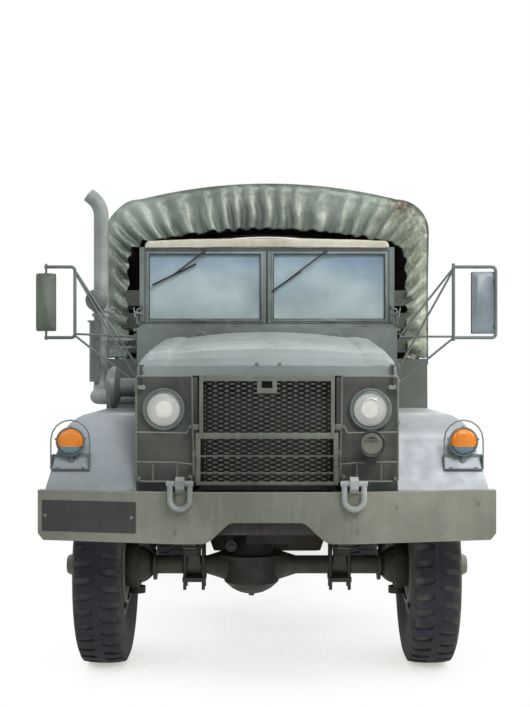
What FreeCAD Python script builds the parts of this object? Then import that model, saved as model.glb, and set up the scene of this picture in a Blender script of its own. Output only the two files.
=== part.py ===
"""Military cargo truck, 2.5 ton class, 6x6, with a canvas cab roof and cargo cover.

Units are millimetres.  X points to the vehicle's left, Z up.  Inside the functions Y is the
distance behind the front axle; save() moves each piece so that the origin lies on the ground
under the middle of the whole vehicle.
"""
import FreeCAD, Part
import os
from math import cos, pi, radians, sin, sqrt, tan

V = FreeCAD.Vector
os.makedirs("parts", exist_ok=True)

# Driving dimensions of the vehicle
FRONT_END = -916.0          # front of the tow shackles' brackets
REAR_END = 5850.0           # rear of the pintle hook
Y_SHIFT = -(FRONT_END + REAR_END) / 2
WHEELBASE = 3912.0          # front axle to the middle of the rear bogie
BOGIE_SPREAD = 1219.0       # between the two rear axles
REAR_AXLES = {"front": WHEELBASE - BOGIE_SPREAD / 2, "rear": WHEELBASE + BOGIE_SPREAD / 2}
FRONT_TRACK = 1724.0
REAR_TRACK = 1778.0         # between the middles of the twin wheels
TWIN_SPACING = 292.0        # inner to outer wheel of a twin
SIDES = {"left": 1, "right": -1}

# Wheels
TYRE_R = 521.3              # to the corners between two facets
TYRE_HALF = 127.0
BORE_R = 252.0
FACETS = 34                 # flat sides round a tyre
RIM_R = BORE_R * cos(pi / FACETS) - 0.1
AXLE_Z = TYRE_R * cos(pi / FACETS)
KINGPIN_X = 700.0
FRONT_WHEEL_X = FRONT_TRACK / 2
SPINDLE_R = 58.0
BEARING_GAP = 0.08
DISC_OFFSET = 146.0         # from the rim's middle to the disc's mounting face

# Springs
SPRING_PAD = 55.0           # the front axle's spring pads stand this far over its middle
FRONT_SPRING_X0, FRONT_SPRING_X1 = 360.0, 424.0
SPRING_X0, SPRING_X1 = 440.0, 540.0
REAR_SPRING_Z = 690.0
TRUNNION_Z = 560.0

# Frame
RAIL_X = 430.0              # outer face of a rail's web
RAIL_Z0, RAIL_Z1 = 762.0, 968.0
RAIL_FLANGE = 76.0
RAIL_T = 7.0
RAIL_Y0, RAIL_Y1 = -862.0, 5750.0

# Bumper
BUMPER_Y = -870.0
BUMPER_Z0, BUMPER_Z1 = 754.0, 994.0
BUMPER_HALF = 1110.0

# Steering
TIE_ROD_Y = 200.0
ARM_Z = AXLE_Z + 6          # the steering arms' middle

# Wings, nose and hood
LAMP_X, LAMP_Z = 504.0, 1384.0
WING_X0, WING_X1 = 643.0, 1090.0
WING_TOP = 1356.0
GUARD_Y = -716.0            # front of the guard's bars
MESH_LONG = 55.7            # from diamond to diamond across the truck
MESH_SHORT = 22.6           # from diamond to diamond upward
MESH_STRAND = 4.0
NOSE_HALF = 637.0
NOSE_Y = -660.0
HOOD_EDGE_Z = 1548.0
HOOD_Y1 = 548.0
COWL_Y = 560.0
EXHAUST = (-993.0, 700.0)   # the upright pipe's x and y

# Cab
CAB_HALF = 765.0
WALL = 30.0
CAB_FLOOR = 1090.0
DASH_Z = 1790.0
SILL_Z = 1820.0
DOOR_Y0, DOOR_Y1 = 790.0, 1650.0
DOOR_HINGE = (772.0, 786.0)
CAB_BACK = 1730.0
CAB_CORNER = 60.0
SCREEN_Y = 720.0
SCREEN_HALF = 763.0
SCREEN_Z0, SCREEN_Z1 = 1826.0, 2306.0
PANE_X0, PANE_X1 = 40.0, 702.0
PANE_Z0, PANE_Z1 = 1876.0, 2262.0

# Inside the cab
SEATS = ((140, 640), (-640, -60))        # each seat's sides
STEER = (390.0, 1050.0, 1905.0)
STEER_TILT = 35.0

# Mirrors
MIRROR_REACH = 1363.0
MIRROR_TUBE_R = 11.0
MIRROR_Y = 600.0
MIRROR_Z0, MIRROR_Z1 = 1762.0, 2180.0

# Spare wheel
SPARE = (250.0, 1885.0, 1512.0)

# Cargo bed
BED_Y0, BED_Y1 = 2050.0, 5740.0
BED_HALF = 1130.0
BED_FLOOR = 1320.0
BED_TOP = 1645.0
BED_WALL = 45.0
STAKES = [BED_Y0 + 60 + i * 700 for i in range(6)]
RACK_TOP = 2130.0
RACK_SLATS = (1690.0, 1860.0, 2020.0)    # lower edges
SLAT_H = 110.0
SLAT_T = 24.0
POST_T = 22.0
COVER_TOP = 2890.0


def save(name, shape):
    shape = shape.copy()
    shape.translate(V(0, Y_SHIFT, 0))
    shape.exportStep("parts/%s.step" % name)


def box(x0, x1, y0, y1, z0, z1):
    return Part.makeBox(x1 - x0, y1 - y0, z1 - z0, V(x0, y0, z0))


def rod(start, end, r):
    axis = V(*end) - V(*start)
    return Part.makeCylinder(r, axis.Length, V(*start), axis)


def ring(start, end, r, bore):
    axis = V(*end) - V(*start)
    outer = Part.makeCylinder(r, axis.Length, V(*start), axis)
    return outer.cut(Part.makeCylinder(bore, axis.Length, V(*start), axis))


def fuse(shapes):
    return shapes[0].multiFuse(shapes[1:]).removeSplitter() if len(shapes) > 1 else shapes[0]


def cut(shape, tools):
    return shape.cut(Part.makeCompound(tools))


def group(shapes):
    return Part.makeCompound(shapes)


def mirrored(shape):
    return shape.mirror(V(0, 0, 0), V(1, 0, 0))


def both(shape):
    return [shape, mirrored(shape)]


def rounded(block, along, r):
    """Round the block's straight edges that run along a direction."""
    edges = [e for e in block.Edges if e.tangentAt(e.FirstParameter).cross(along).Length < 0.001]
    return block.makeFillet(r, edges)


def plate_x(points, x0, x1):
    """A plate with the outline points (y, z), thick from x0 to x1."""
    face = Part.Face(Part.makePolygon([V(x0, y, z) for y, z in points + points[:1]]))
    return face.extrude(V(x1 - x0, 0, 0))


def plate_y(points, y0, y1):
    """A plate with the outline points (x, z), thick from y0 to y1."""
    face = Part.Face(Part.makePolygon([V(x, y0, z) for x, z in points + points[:1]]))
    return face.extrude(V(0, y1 - y0, 0))


def plate_z(points, z0, z1):
    """A plate with the outline points (x, y), thick from z0 to z1."""
    face = Part.Face(Part.makePolygon([V(x, y, z0) for x, y in points + points[:1]]))
    return face.extrude(V(0, 0, z1 - z0))


def turned(profile, centre, axis):
    """Turn a closed profile of (distance along the axis, radius) pairs about the axis."""
    place = FreeCAD.Placement(V(*centre), FreeCAD.Rotation(V(1, 0, 0), V(*axis)))
    face = Part.Face(Part.makePolygon([V(a, r, 0) for a, r in profile + profile[:1]]))
    solid = face.revolve(V(0, 0, 0), V(1, 0, 0), 360)
    solid.Placement = place
    return solid


def tube(points, r, bend):
    """A round bar or tube along straight runs with an arc of radius bend at each corner."""
    points = [V(*p) for p in points]
    edges = []
    start = points[0]
    for here, after, before in zip(points[1:-1], points[2:], points[:-2]):
        into = (here - before).normalize()
        out = (after - here).normalize()
        turn = into.getAngle(out)
        reach = bend * tan(turn / 2)
        first = here - into * reach
        last = here + out * reach
        middle = here + (out - into).normalize() * (bend / cos(turn / 2) - bend)
        edges += [Part.LineSegment(start, first).toShape(), Part.Arc(first, middle, last).toShape()]
        start = last
    edges.append(Part.LineSegment(start, points[-1]).toShape())
    path = Part.Wire(edges)
    section = Part.Wire(Part.makeCircle(r, points[0], points[1] - points[0]))
    return path.makePipeShell([section], True, False)


def arc_strip(centre, radius, thick, half_angle, x0, x1):
    """A leaf: a strip between two arcs about centre (y, z), hanging below it, from x0 to x1."""
    def at(r, angle):
        return V(x0, centre[0] + r * sin(angle), centre[1] - r * cos(angle))
    inner, outer = radius, radius + thick
    edges = [
        Part.Arc(at(inner, -half_angle), at(inner, 0), at(inner, half_angle)).toShape(),
        Part.makeLine(at(inner, half_angle), at(outer, half_angle)),
        Part.Arc(at(outer, half_angle), at(outer, 0), at(outer, -half_angle)).toShape(),
        Part.makeLine(at(outer, -half_angle), at(inner, -half_angle))]
    return Part.Face(Part.Wire(edges)).extrude(V(x1 - x0, 0, 0))


# ---- Frame, bumper, running gear

def frame_rail():
    web = box(RAIL_X - RAIL_T, RAIL_X, RAIL_Y0, RAIL_Y1, RAIL_Z0, RAIL_Z1)
    low = box(RAIL_X - RAIL_FLANGE, RAIL_X, RAIL_Y0, RAIL_Y1, RAIL_Z0, RAIL_Z0 + RAIL_T)
    top = box(RAIL_X - RAIL_FLANGE, RAIL_X, RAIL_Y0, RAIL_Y1, RAIL_Z1 - RAIL_T, RAIL_Z1)
    return fuse([web, low, top])


def crossmembers():
    """The bars between the rails and, behind, the trunnion tube on its two brackets."""
    inside = RAIL_X - RAIL_T
    # columns: y of the front face, length along y, lowest z, highest z
    rows = [
        (-820, 70, 790, 930),
        (-560, 60, 775, 900),
        (1120, 80, 890, 950),
        (1620, 80, 890, 950),
        (2480, 80, 790, 930),
        (WHEELBASE - 90, 180, 775, 955),
        (4940, 80, 790, 930),
        (5670, 80, 775, 955)]
    bars = [box(-inside, inside, y, y + l, z0, z1) for y, l, z0, z1 in rows]
    tube = rod((-SPRING_X0, WHEELBASE, TRUNNION_Z), (SPRING_X0, WHEELBASE, TRUNNION_Z), 42)
    outline = [(WHEELBASE - 60, 500), (WHEELBASE + 60, 500),
               (WHEELBASE + 130, RAIL_Z0), (WHEELBASE - 130, RAIL_Z0)]
    brackets = both(plate_x(outline, RAIL_X - RAIL_FLANGE, SPRING_X0))
    return group(bars + [fuse([tube] + brackets)])


def front_bumper():
    sweep = 150.0
    straight = 430.0
    depth = 66.0
    wall = 8.0

    def plan(offset, back, half):
        y_end = BUMPER_Y + sweep + offset
        return [(-half, y_end), (-straight, BUMPER_Y + offset), (straight, BUMPER_Y + offset),
                (half, y_end), (half, y_end + back), (straight, BUMPER_Y + offset + back),
                (-straight, BUMPER_Y + offset + back), (-half, y_end + back)]
    body = plate_z(plan(0, depth, BUMPER_HALF), BUMPER_Z0, BUMPER_Z1)
    hollow = plate_z(plan(wall, depth, BUMPER_HALF - wall), BUMPER_Z0 + wall, BUMPER_Z1 - wall)
    edge = [(310, BUMPER_Z0 - 1), (284, 760), (265, 771), (200, 832), (183, 847), (160, 854)]
    notch = plate_y([(-x, z) for x, z in edge] + edge[::-1], BUMPER_Y - 10, BUMPER_Y + 200)
    corner = plate_y([(BUMPER_HALF + 1, BUMPER_Z0 - 1), (BUMPER_HALF + 1, BUMPER_Z0 + 34),
                      (BUMPER_HALF - 28, BUMPER_Z0 - 1)], BUMPER_Y, BUMPER_Y + 400)
    return cut(body, [hollow, notch] + both(corner))


def tow_shackles():
    """A bracket over the bumper's top edge and a bow that hangs from its pin, on each side."""
    shackles = []
    x, pin_z, y = 410.0, 1041.0, -894.0
    bar, bow = 14.0, 46.0
    for side in SIDES.values():
        centre = side * x
        lug = plate_x([(BUMPER_Y - 46, 1018), (BUMPER_Y - 46, 1056), (BUMPER_Y - 30, 1072),
                       (BUMPER_Y + 6, 1072), (BUMPER_Y + 60, BUMPER_Z1), (BUMPER_Y - 8, BUMPER_Z1)],
                      centre - 20, centre + 20)
        pin = rod((centre - 64, y, pin_z), (centre + 64, y, pin_z), 13)
        legs = [rod((centre + s * bow, y, pin_z), (centre + s * bow, y, 967), bar) for s in (-1, 1)]
        arc = Part.Arc(V(centre - bow, y, 967), V(centre, y, 967 - bow), V(centre + bow, y, 967))
        path = Part.Wire(arc.toShape())
        section = Part.Wire(Part.makeCircle(bar, V(centre - bow, y, 967), V(0, 0, 1)))
        shackles.append(fuse([lug, pin, path.makePipeShell([section], True, False)] + legs))
    return group(shackles)


def leaf_pack(y, z, half_length, rise, leaves, thick, x0, x1):
    """Leaves under each other, each shorter than the one above; z is the middle of the top one."""
    radius = (half_length ** 2 + rise ** 2) / (2 * rise)
    pack = []
    for i in range(leaves):
        reach = half_length * (1 - 0.13 * i)
        inner = radius + i * thick
        pack.append(arc_strip((y, z + radius), inner, thick, reach / inner, x0, x1))
    return fuse(pack)


def front_springs():
    x0, x1 = FRONT_SPRING_X0, FRONT_SPRING_X1
    middle = (x0 + x1) / 2
    pack = leaf_pack(0, 634, 560, 88, 5, 10, x0, x1)
    saddle = box(x0, x1, -70, 70, AXLE_Z + SPRING_PAD, 585)
    plate = box(middle - 62, middle + 62, -78, 78, 436, 458)
    hangers = [box(x0 + 8, x1 - 8, y - 18, y + 18, 700, RAIL_Z0) for y in (-540, 540)]
    bolts = [rod((middle + sx * 50, sy * 58, 392), (middle + sx * 50, sy * 58, 660), 9)
             for sx in (-1, 1) for sy in (-1, 1)]
    cap = box(middle - 58, middle + 58, -72, 72, 634, 652)
    return both(fuse([pack, saddle, plate, cap] + hangers + bolts))


def differential(x, y, nose, output=0):
    """A banjo bowl with the carrier bolted on its top; nose is the pinion's side, -1 or 1."""
    bowl = turned([(-155, 0), (-154, 30), (-143, 70), (-124, 106), (-98, 136), (-86, 148),
                   (40, 150), (40, 172), (62, 172), (66, 128), (150, 96), (200, 60), (200, 0)],
                  (x, y, AXLE_Z), (0, 0, 1))
    drain = rod((x, y, AXLE_Z - 166), (x, y, AXLE_Z - 150), 15)
    pinion = rod((x, y, AXLE_Z + 128), (x, y + nose * 250, AXLE_Z + 128), 58)
    flange = rod((x, y + nose * 250, AXLE_Z + 128), (x, y + nose * 275, AXLE_Z + 128), 74)
    carrier = [bowl, drain, pinion, flange]
    if output:
        carrier.append(rod((x, y, AXLE_Z + 128), (x, y - nose * output, AXLE_Z + 128), 45))
    return carrier


def front_axle():
    ball_r = 100.0
    parts = differential(-84, 0, 1)
    for side in SIDES.values():
        parts.append(rod((side * -60, 0, AXLE_Z), (side * 625, 0, AXLE_Z), 49))
        parts.append(Part.makeCone(96, 47, 150, V(side * 96 - 84, 0, AXLE_Z), V(side, 0, 0)))
        parts.append(Part.makeSphere(ball_r, V(side * KINGPIN_X, 0, AXLE_Z)))
        parts.append(rod((side * 596, 0, AXLE_Z), (side * 612, 0, AXLE_Z), 82))
        parts.append(box(*sorted((side * FRONT_SPRING_X0, side * FRONT_SPRING_X1)), -60, 60,
                         AXLE_Z + 10, AXLE_Z + SPRING_PAD))
    axle = fuse(parts)
    beyond = box(KINGPIN_X + 40, KINGPIN_X + 200, -150, 150, AXLE_Z - 150, AXLE_Z + 150)
    return cut(axle, both(beyond))


def rear_axles():
    axles = []
    for y, output in ((REAR_AXLES["front"], 200), (REAR_AXLES["rear"], 0)):
        across = []
        for side in SIDES.values():
            seat_x = side * (SPRING_X0 + SPRING_X1) / 2
            root_x = 84 + side * 40
            arm = abs(seat_x - root_x)
            across += [Part.makeCone(78, 56, arm, V(root_x, y, AXLE_Z), V(side, 0, 0)),
                       rod((seat_x, y, AXLE_Z), (side * 790, y, AXLE_Z), 52)]
        seats = both(box(SPRING_X0, SPRING_X1, y - 62, y + 62, AXLE_Z - 62, REAR_SPRING_Z))
        axles.append(fuse(across + seats + differential(84, y, -1, output)))
    return axles


def rear_springs():
    """On each side a pack of leaves over the trunnion's end, the lowest leaf the longest."""
    leaves = [(650, 0), (560, 1), (470, 2), (380, 3), (290, 4), (200, 5)]
    thick = 14.0
    parts = [box(SPRING_X0, SPRING_X1, WHEELBASE - 95, WHEELBASE + 95, TRUNNION_Z - 60, REAR_SPRING_Z),
             rod((SPRING_X1, WHEELBASE, TRUNNION_Z), (SPRING_X1 + 20, WHEELBASE, TRUNNION_Z), 42)]
    for reach, i in leaves:
        z = REAR_SPRING_Z + i * thick
        parts.append(box(SPRING_X0, SPRING_X1, WHEELBASE - reach, WHEELBASE + reach, z, z + thick))
    return both(fuse(parts))


def powertrain():
    """A plain block for the engine with the gearbox behind it, and the transfer case."""
    engine = fuse([box(-280, 280, -360, 520, 800, 1450), box(-104, 124, -330, -130, 677, 800)])
    gearbox = plate_x([(520, 740), (520, 1040), (760, 1010), (1060, 900), (1060, 740)], -170, 170)
    transfer = fuse([box(-190, 200, 1760, 2060, 560, 860), box(-150, 150, 1720, 2120, 600, 800)])
    return group([fuse([engine, gearbox]), transfer])


def prop_shafts():
    """The tubes that carry the drive, each with a universal joint at either end."""
    z = AXLE_Z + 128
    joint = 30.0
    # columns: x, front end along y, rear end along y, height, radius
    shafts = [
        (0, 1060, 1720, 770, 36),
        (-84, 275, 1720, z, 36),
        (84, 2120, REAR_AXLES["front"] - 275, z, 40),
        (84, REAR_AXLES["front"] + 200, REAR_AXLES["rear"] - 275, z, 40)]
    parts = []
    for x, y0, y1, height, r in shafts:
        ends = [rod((x, y, height), (x, y + joint, height), r + 18) for y in (y0, y1 - joint)]
        parts.append(fuse([rod((x, y0, height), (x, y1, height), r)] + ends))
    return group(parts)


def radiator():
    core = box(-330, 330, -520, -440, 1000, 1500)
    return fuse([core, box(-330, 330, -530, -430, 1500, 1540), box(-330, 330, -530, -430, 975, 1000)])


# ---- Wheels

def faceted_ring(profile, x, y):
    """A ring with FACETS flat sides; profile holds (x from the ring's middle, radius) pairs."""
    step = 2 * pi / FACETS
    faces = []
    for i in range(FACETS):
        turns = [(cos((i + k) * step - pi / 2 - step / 2), sin((i + k) * step - pi / 2 - step / 2))
                 for k in (0, 1)]
        for (xa, ra), (xb, rb) in zip(profile, profile[1:] + profile[:1]):
            corners = [V(x + a, y + c * r, AXLE_Z + s * r)
                       for a, r, (c, s) in ((xa, ra, turns[0]), (xb, rb, turns[0]),
                                            (xb, rb, turns[1]), (xa, ra, turns[1]))]
            faces.append(Part.Face(Part.makePolygon(corners + corners[:1])))
    shell = Part.makeShell(faces)
    shell.sewShape()
    solid = Part.makeSolid(shell)
    if solid.Volume < 0:
        solid.reverse()
    return solid


def tyre(x, y):
    return faceted_ring([(-92, BORE_R), (-TYRE_HALF, 385), (-118, 488), (-106, TYRE_R),
                         (106, TYRE_R), (118, 488), (TYRE_HALF, 385), (92, BORE_R)], x, y)


def rim(x, y, out):
    """A rim with its dished disc, whose mounting face stands outboard; out is that side."""
    hub_r = 84.0
    profile = [(-92, RIM_R), (92, RIM_R), (92, 238), (112, 182), (137, 126), (DISC_OFFSET, 110),
               (DISC_OFFSET, hub_r), (DISC_OFFSET - 10, hub_r), (DISC_OFFSET - 10, 108),
               (128, 120), (104, 178), (76, 241), (-92, 241)]
    return turned(profile, (x, y, AXLE_Z), (out, 0, 0))


def front_wheel(side):
    x = side * FRONT_WHEEL_X
    bore = SPINDLE_R + BEARING_GAP
    hub = turned([(-112, 192), (-112, 205), (-6, 205), (-6, 96), (100, 96), (106, 122), (119, 122),
                  (135, 87), (152, 87), (156, 60), (206, 54), (218, 40), (218, 0), (24, 0),
                  (24, bore), (-20, bore), (-20, 192)], (x, 0, AXLE_Z), (side, 0, 0))
    return rim(x, 0, side), tyre(x, 0), hub


def rear_wheel(side, y):
    """Twin wheels whose discs meet face to face on the hub."""
    inner = side * (REAR_TRACK - TWIN_SPACING) / 2
    outer = side * (REAR_TRACK + TWIN_SPACING) / 2
    bore = 52.0 + BEARING_GAP
    hub = turned([(-236, 192), (-236, 205), (-130, 205), (-130, 96), (-46, 96), (-40, 122),
                  (-27, 122), (-11, 87), (11, 87), (15, 70), (150, 62), (162, 48), (162, 0),
                  (-88, 0), (-88, bore), (-144, bore), (-144, 192)],
                 (side * REAR_TRACK / 2, y, AXLE_Z), (side, 0, 0))
    rims = group([rim(inner, y, side), rim(outer, y, -side)])
    return rims, group([tyre(inner, y), tyre(outer, y)]), hub


def knuckle(side):
    """The cup round the axle's ball, with kingpin bosses, spindle, and the arm to the tie rod."""
    centre = V(side * KINGPIN_X, 0, AXLE_Z)
    cup = Part.makeSphere(128, centre).cut(Part.makeSphere(107, centre))
    edge = side * (KINGPIN_X - 14)
    keep = box(*sorted((edge, side * (KINGPIN_X + 200))), -200, 200, AXLE_Z - 200, AXLE_Z + 200)
    cup = cup.common(keep)
    x = centre.x
    bosses = [rod((x, 0, AXLE_Z + s * 116), (x, 0, AXLE_Z + s * 152), 42) for s in (-1, 1)]
    flange = rod((side * (KINGPIN_X + 112), 0, AXLE_Z), (side * (KINGPIN_X + 130), 0, AXLE_Z), 84)
    spindle = rod((side * (KINGPIN_X + 112), 0, AXLE_Z), (side * (FRONT_WHEEL_X + 20), 0, AXLE_Z),
                  SPINDLE_R)
    plate = rod((side * (KINGPIN_X + 58), 0, AXLE_Z), (side * (KINGPIN_X + 64), 0, AXLE_Z), 186)
    room = Part.makeSphere(107, centre)
    arm = plate_z([(x - side * 10, 90), (x + side * 30, 90), (x - side * 26, TIE_ROD_Y + 20),
                   (x - side * 74, TIE_ROD_Y + 20), (x - side * 74, TIE_ROD_Y - 20)],
                  ARM_Z - 12, ARM_Z + 12)
    return fuse([cup] + bosses + [part.cut(room) for part in (flange, spindle, plate, arm)])


def tie_rod():
    """The rod between the steering arms, under their eyes."""
    half = KINGPIN_X - 50.0
    z = ARM_Z - 38
    bar = rod((-half + 30, TIE_ROD_Y, z), (half - 30, TIE_ROD_Y, z), 17)
    eyes = both(rod((half, TIE_ROD_Y, z - 20), (half, TIE_ROD_Y, z + 20), 32))
    return fuse([bar] + eyes)


# ---- Nose

def wing_shape(inset, x0, low):
    """The left wing's outer form from x0 outward and down to low, smaller by inset all round."""
    top = WING_TOP - inset
    front, rear = -640 + inset, 690 - inset
    lip, bend, brow = V(0, front, 985), V(0, front + 120, 1215 - inset / 2), V(0, -455, 1312 - inset)
    crown, fall = V(0, -330, top), V(0, 330, top)
    tail, foot, toe = V(0, rear, 1010), V(0, rear, low), V(0, front, low)
    lines = ((crown, fall), (fall, tail), (tail, foot), (foot, toe), (toe, lip), (lip, bend))
    edges = [Part.makeLine(a, b) for a, b in lines] + [Part.Arc(bend, brow, crown).toShape()]
    side = Part.Face(Part.Wire(Part.__sortEdges__(edges)))

    x1 = WING_X1 - inset
    crest, eave, skirt = V(x1 - 210, 0, top), V(x1 - 62, 0, top - 112), V(x1, 0, 985)
    lines = ((V(x0, 0, 400), V(x0, 0, top)), (V(x0, 0, top), crest), (eave, skirt),
             (skirt, V(x1, 0, 400)), (V(x1, 0, 400), V(x0, 0, 400)))
    edges = [Part.makeLine(a, b) for a, b in lines]
    edges.append(Part.Arc(crest, V(x1 - 106, 0, top - 41), eave).toShape())
    section = Part.Face(Part.Wire(Part.__sortEdges__(edges)))
    section.translate(V(0, -900, 0))
    return side.extrude(V(2000, 0, 0)).common(section.extrude(V(0, 1800, 0)))


def front_wings():
    """Pressed wings with a round shoulder, each open below and inboard, cut out for the wheel."""
    sheet = 7.0
    wing = wing_shape(0, WING_X0, 800).cut(wing_shape(sheet, WING_X0 - 50, 500))
    arch = rod((WING_X0 - 10, 0, AXLE_Z + 30), (WING_X1 + 10, 0, AXLE_Z + 30), 588)
    below = box(WING_X0 - 10, WING_X1 + 10, -590, 590, 300, AXLE_Z + 30)
    front = box(WING_X0 - 10, WING_X1 + 10, -700, -300, 300, 968)
    cowl = box(WING_X0 - 10, CAB_HALF + 3, COWL_Y - 4, 720, 700, 1500)
    wing = cut(wing, [arch, below, front, cowl])
    return group(both(wing))


def nose_panels():
    """Lamp panels beside the grille and the side panels under the hood."""
    low = 1030.0
    t = 6.0
    side = box(NOSE_HALF - t, NOSE_HALF, NOSE_Y, COWL_Y - 4, low, HOOD_EDGE_Z - 6)
    panel = box(340, NOSE_HALF, NOSE_Y, NOSE_Y + t, low, HOOD_EDGE_Z - 6)
    lamp = rod((LAMP_X, NOSE_Y - 9, LAMP_Z), (LAMP_X, NOSE_Y + 20, LAMP_Z), 96)
    inner = box(340, 340 + t, NOSE_Y, -430, low, HOOD_EDGE_Z - 6)
    return both(fuse([side, panel.cut(lamp), inner]))


def hood_section(y, shoulder_z, crown, low_z, inset):
    """One cross-section of the hood: straight sides, round shoulders, a valley, a raised middle."""
    h = NOSE_HALF - inset
    z = shoulder_z - inset
    r = min(75.0, z - low_z - 5)
    half = [(h, low_z), (h, z - r), (h - r * 0.2929, z - r * 0.2929), (h - r, z),
            (h - r - 45, z + 7), (h - r - 95, z + 3)]
    right = [V(x, y, zz) for x, zz in half]
    left = [V(-x, y, zz) for x, zz in half]
    edges = [Part.makeLine(left[0], right[0]), Part.makeLine(right[0], right[1]),
             Part.Arc(right[1], right[2], right[3]).toShape(),
             Part.Arc(right[3], right[4], right[5]).toShape(),
             Part.Arc(right[5], V(0, y, z + crown), left[5]).toShape(),
             Part.Arc(left[5], left[4], left[3]).toShape(),
             Part.Arc(left[3], left[2], left[1]).toShape(), Part.makeLine(left[1], left[0])]
    return Part.Wire(edges)


def hood():
    """The hood's shell: a blunt round nose and a crowned top that rises to the cowl."""
    def form(inset, low_z):
        # columns: y, height of the shoulder, height of the crown above it
        sections = [(NOSE_Y + inset, 1592, 6), (NOSE_Y + 22 + inset, 1624, 14),
                    (NOSE_Y + 80 + inset, 1656, 24), (-250, 1694, 34), (HOOD_Y1, 1758, 36)]
        wires = [hood_section(y, z, crown, low_z, inset) for y, z, crown in sections]
        return Part.makeLoft(wires, True, True)
    return form(0, HOOD_EDGE_Z).cut(form(9, HOOD_EDGE_Z - 4))


def brush_guard():
    """Flat bars round the two mesh panels in front of the grille and round each headlamp."""
    y0, y1 = GUARD_Y, GUARD_Y + 26
    bar = 13.0
    flats = []

    def upright(x, z0, z1, half=bar):
        flats.append(box(x - half, x + half, y0, y1, z0, z1))

    def level(x0, x1, z, half=bar):
        flats.append(box(x0, x1, y0, y1, z - half, z + half))

    low, middle, top = 1029.0, 1268.0, 1536.0
    for side in SIDES.values():
        upright(side * 318, middle, top, 10)
        upright(side * 333, low, middle, 11)
        upright(side * 358, low, top, 6)
        upright(side * 392, low, top, 8)
        upright(side * 628, low, top, 8)
    level(-328, 328, top, 16)
    level(-344, 344, middle - 12, 14)
    level(-344, 344, low, 11)
    flats.append(box(-48, 48, y0, y1, top - 69, top))
    for z, half in ((top, 7), (1272, 7), (1124, 7), (low, 7)):
        for a, b in ((-636, -320), (320, 636)):
            level(a, b, z, half)
    for column in range(-4, 6):
        upright((column - 0.5) * MESH_LONG, middle - 20, top - (60 if column in (0, 1) else 0), 5)
    for z in (1092, 1168):
        level(-330, 330, z, 5)
    latch_room = box(-26, 26, y0 - 1, y1 + 1, top - 45, top + 20)
    guard = fuse(flats).cut(latch_room)
    feet = [box(x - 20, x + 20, y1, NOSE_Y, 1060, 1090) for x in (-616, -365, 365, 616)]
    return fuse([guard] + feet)


def diamond(x, z, y):
    """A closed wire round one opening of the mesh, its long way across the truck."""
    a = (MESH_LONG - 2 * MESH_STRAND) / 2
    b = (MESH_SHORT - MESH_STRAND) / 2
    points = [V(x + cx, y, z + cz) for cx, cz in ((a, 0), (0, b), (-a, 0), (0, -b))]
    return Part.Wire(Part.makePolygon(points + points[:1]))


def mesh_panel(half, z0, z1, notch=0.0):
    """A sheet of expanded metal: rows of diamonds, each row shifted by half a diamond."""
    y = GUARD_Y - 4
    outline = [(-half, z0), (half, z0), (half, z1)]
    if notch:
        outline += [(30, z1), (30, notch), (-30, notch), (-30, z1)]
    outline.append((-half, z1))
    holes = []
    rows = int((z1 - z0 - MESH_SHORT) / (MESH_SHORT / 2)) + 1
    low = (z0 + z1) / 2 - (rows - 1) * MESH_SHORT / 4
    for row in range(rows):
        z = low + row * MESH_SHORT / 2
        count = 11 - row % 2
        for k in range(count):
            x = (k - (count - 1) / 2) * MESH_LONG
            if not notch or abs(x) > 30 + MESH_LONG / 2 or z < notch - MESH_SHORT / 2:
                holes.append(diamond(x, z, y))
    wire = Part.makePolygon([V(a, y, b) for a, b in outline + outline[:1]])
    sheet = Part.Face([Part.Wire(wire)] + holes)
    return sheet.extrude(V(0, 3, 0))


def guard_mesh():
    """The two expanded-metal panels in front of the guard's bars, one with room for the latch."""
    return group([mesh_panel(312, 1266, 1526, 1478), mesh_panel(324, 1032, 1246)])


def headlamps():
    lamp = turned([(-95, 0), (-95, 60), (-30, 96), (26, 96), (34, 103), (48, 103), (52, 84),
                   (60, 40), (62, 0)], (LAMP_X, NOSE_Y + 20, LAMP_Z), (0, -1, 0))
    return both(lamp)


def blackout_lamp():
    body = turned([(-26, 0), (-26, 40), (0, 62), (26, 64), (30, 0)], (LAMP_X, -744, 1222), (0, -1, 0))
    foot = box(LAMP_X - 16, LAMP_X + 16, -730, -716, 1118, 1200)
    return fuse([body, foot])


def turn_lamps():
    """Lamps on the wings, each on a plate with a hoop over it."""
    x, z = 981.0, 1223.0
    body = turned([(-60, 0), (-60, 40), (-30, 68), (0, 76), (16, 76), (20, 66), (34, 40), (38, 0)],
                  (x, -560, z), (0, -1, 0))
    plate = plate_x([(-612, 1072), (-585, 1100), (-520, 1225), (-500, 1225), (-520, 1140),
                     (-560, 1100), (-590, 1066)], x - 60, x + 60)
    hoop = tube([(x - 96, -596, 1096), (x - 96, -596, 1230), (x - 44, -596, 1334),
                 (x + 44, -596, 1334), (x + 96, -596, 1230), (x + 96, -596, 1096)], 6, 70)
    stay = box(x - 102, x + 102, -605, -560, 1084, 1100)
    return group(both(fuse([body, plate, hoop, stay]).cut(wing_shape(0, WING_X0, 800))))


def exhaust_stack():
    """The pipe out of the engine's side, back, and up to its leaning mouth, with a clamp."""
    x, y = EXHAUST
    outlet_y, z = 450.0, 1416.0
    tip = (x - 74, y, 2640)
    route = [(-NOSE_HALF, outlet_y, z), (x, outlet_y, z), (x, y, z), (x, y, 2456), tip]
    pipe = tube(route, 48, 110)
    mouth = rod(tip, (x - 44, y, 2566), 43)
    clamp = ring((x, y, 1896), (x, y, 1922), 62, 47)
    return fuse([pipe.cut(mouth), clamp])


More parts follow.
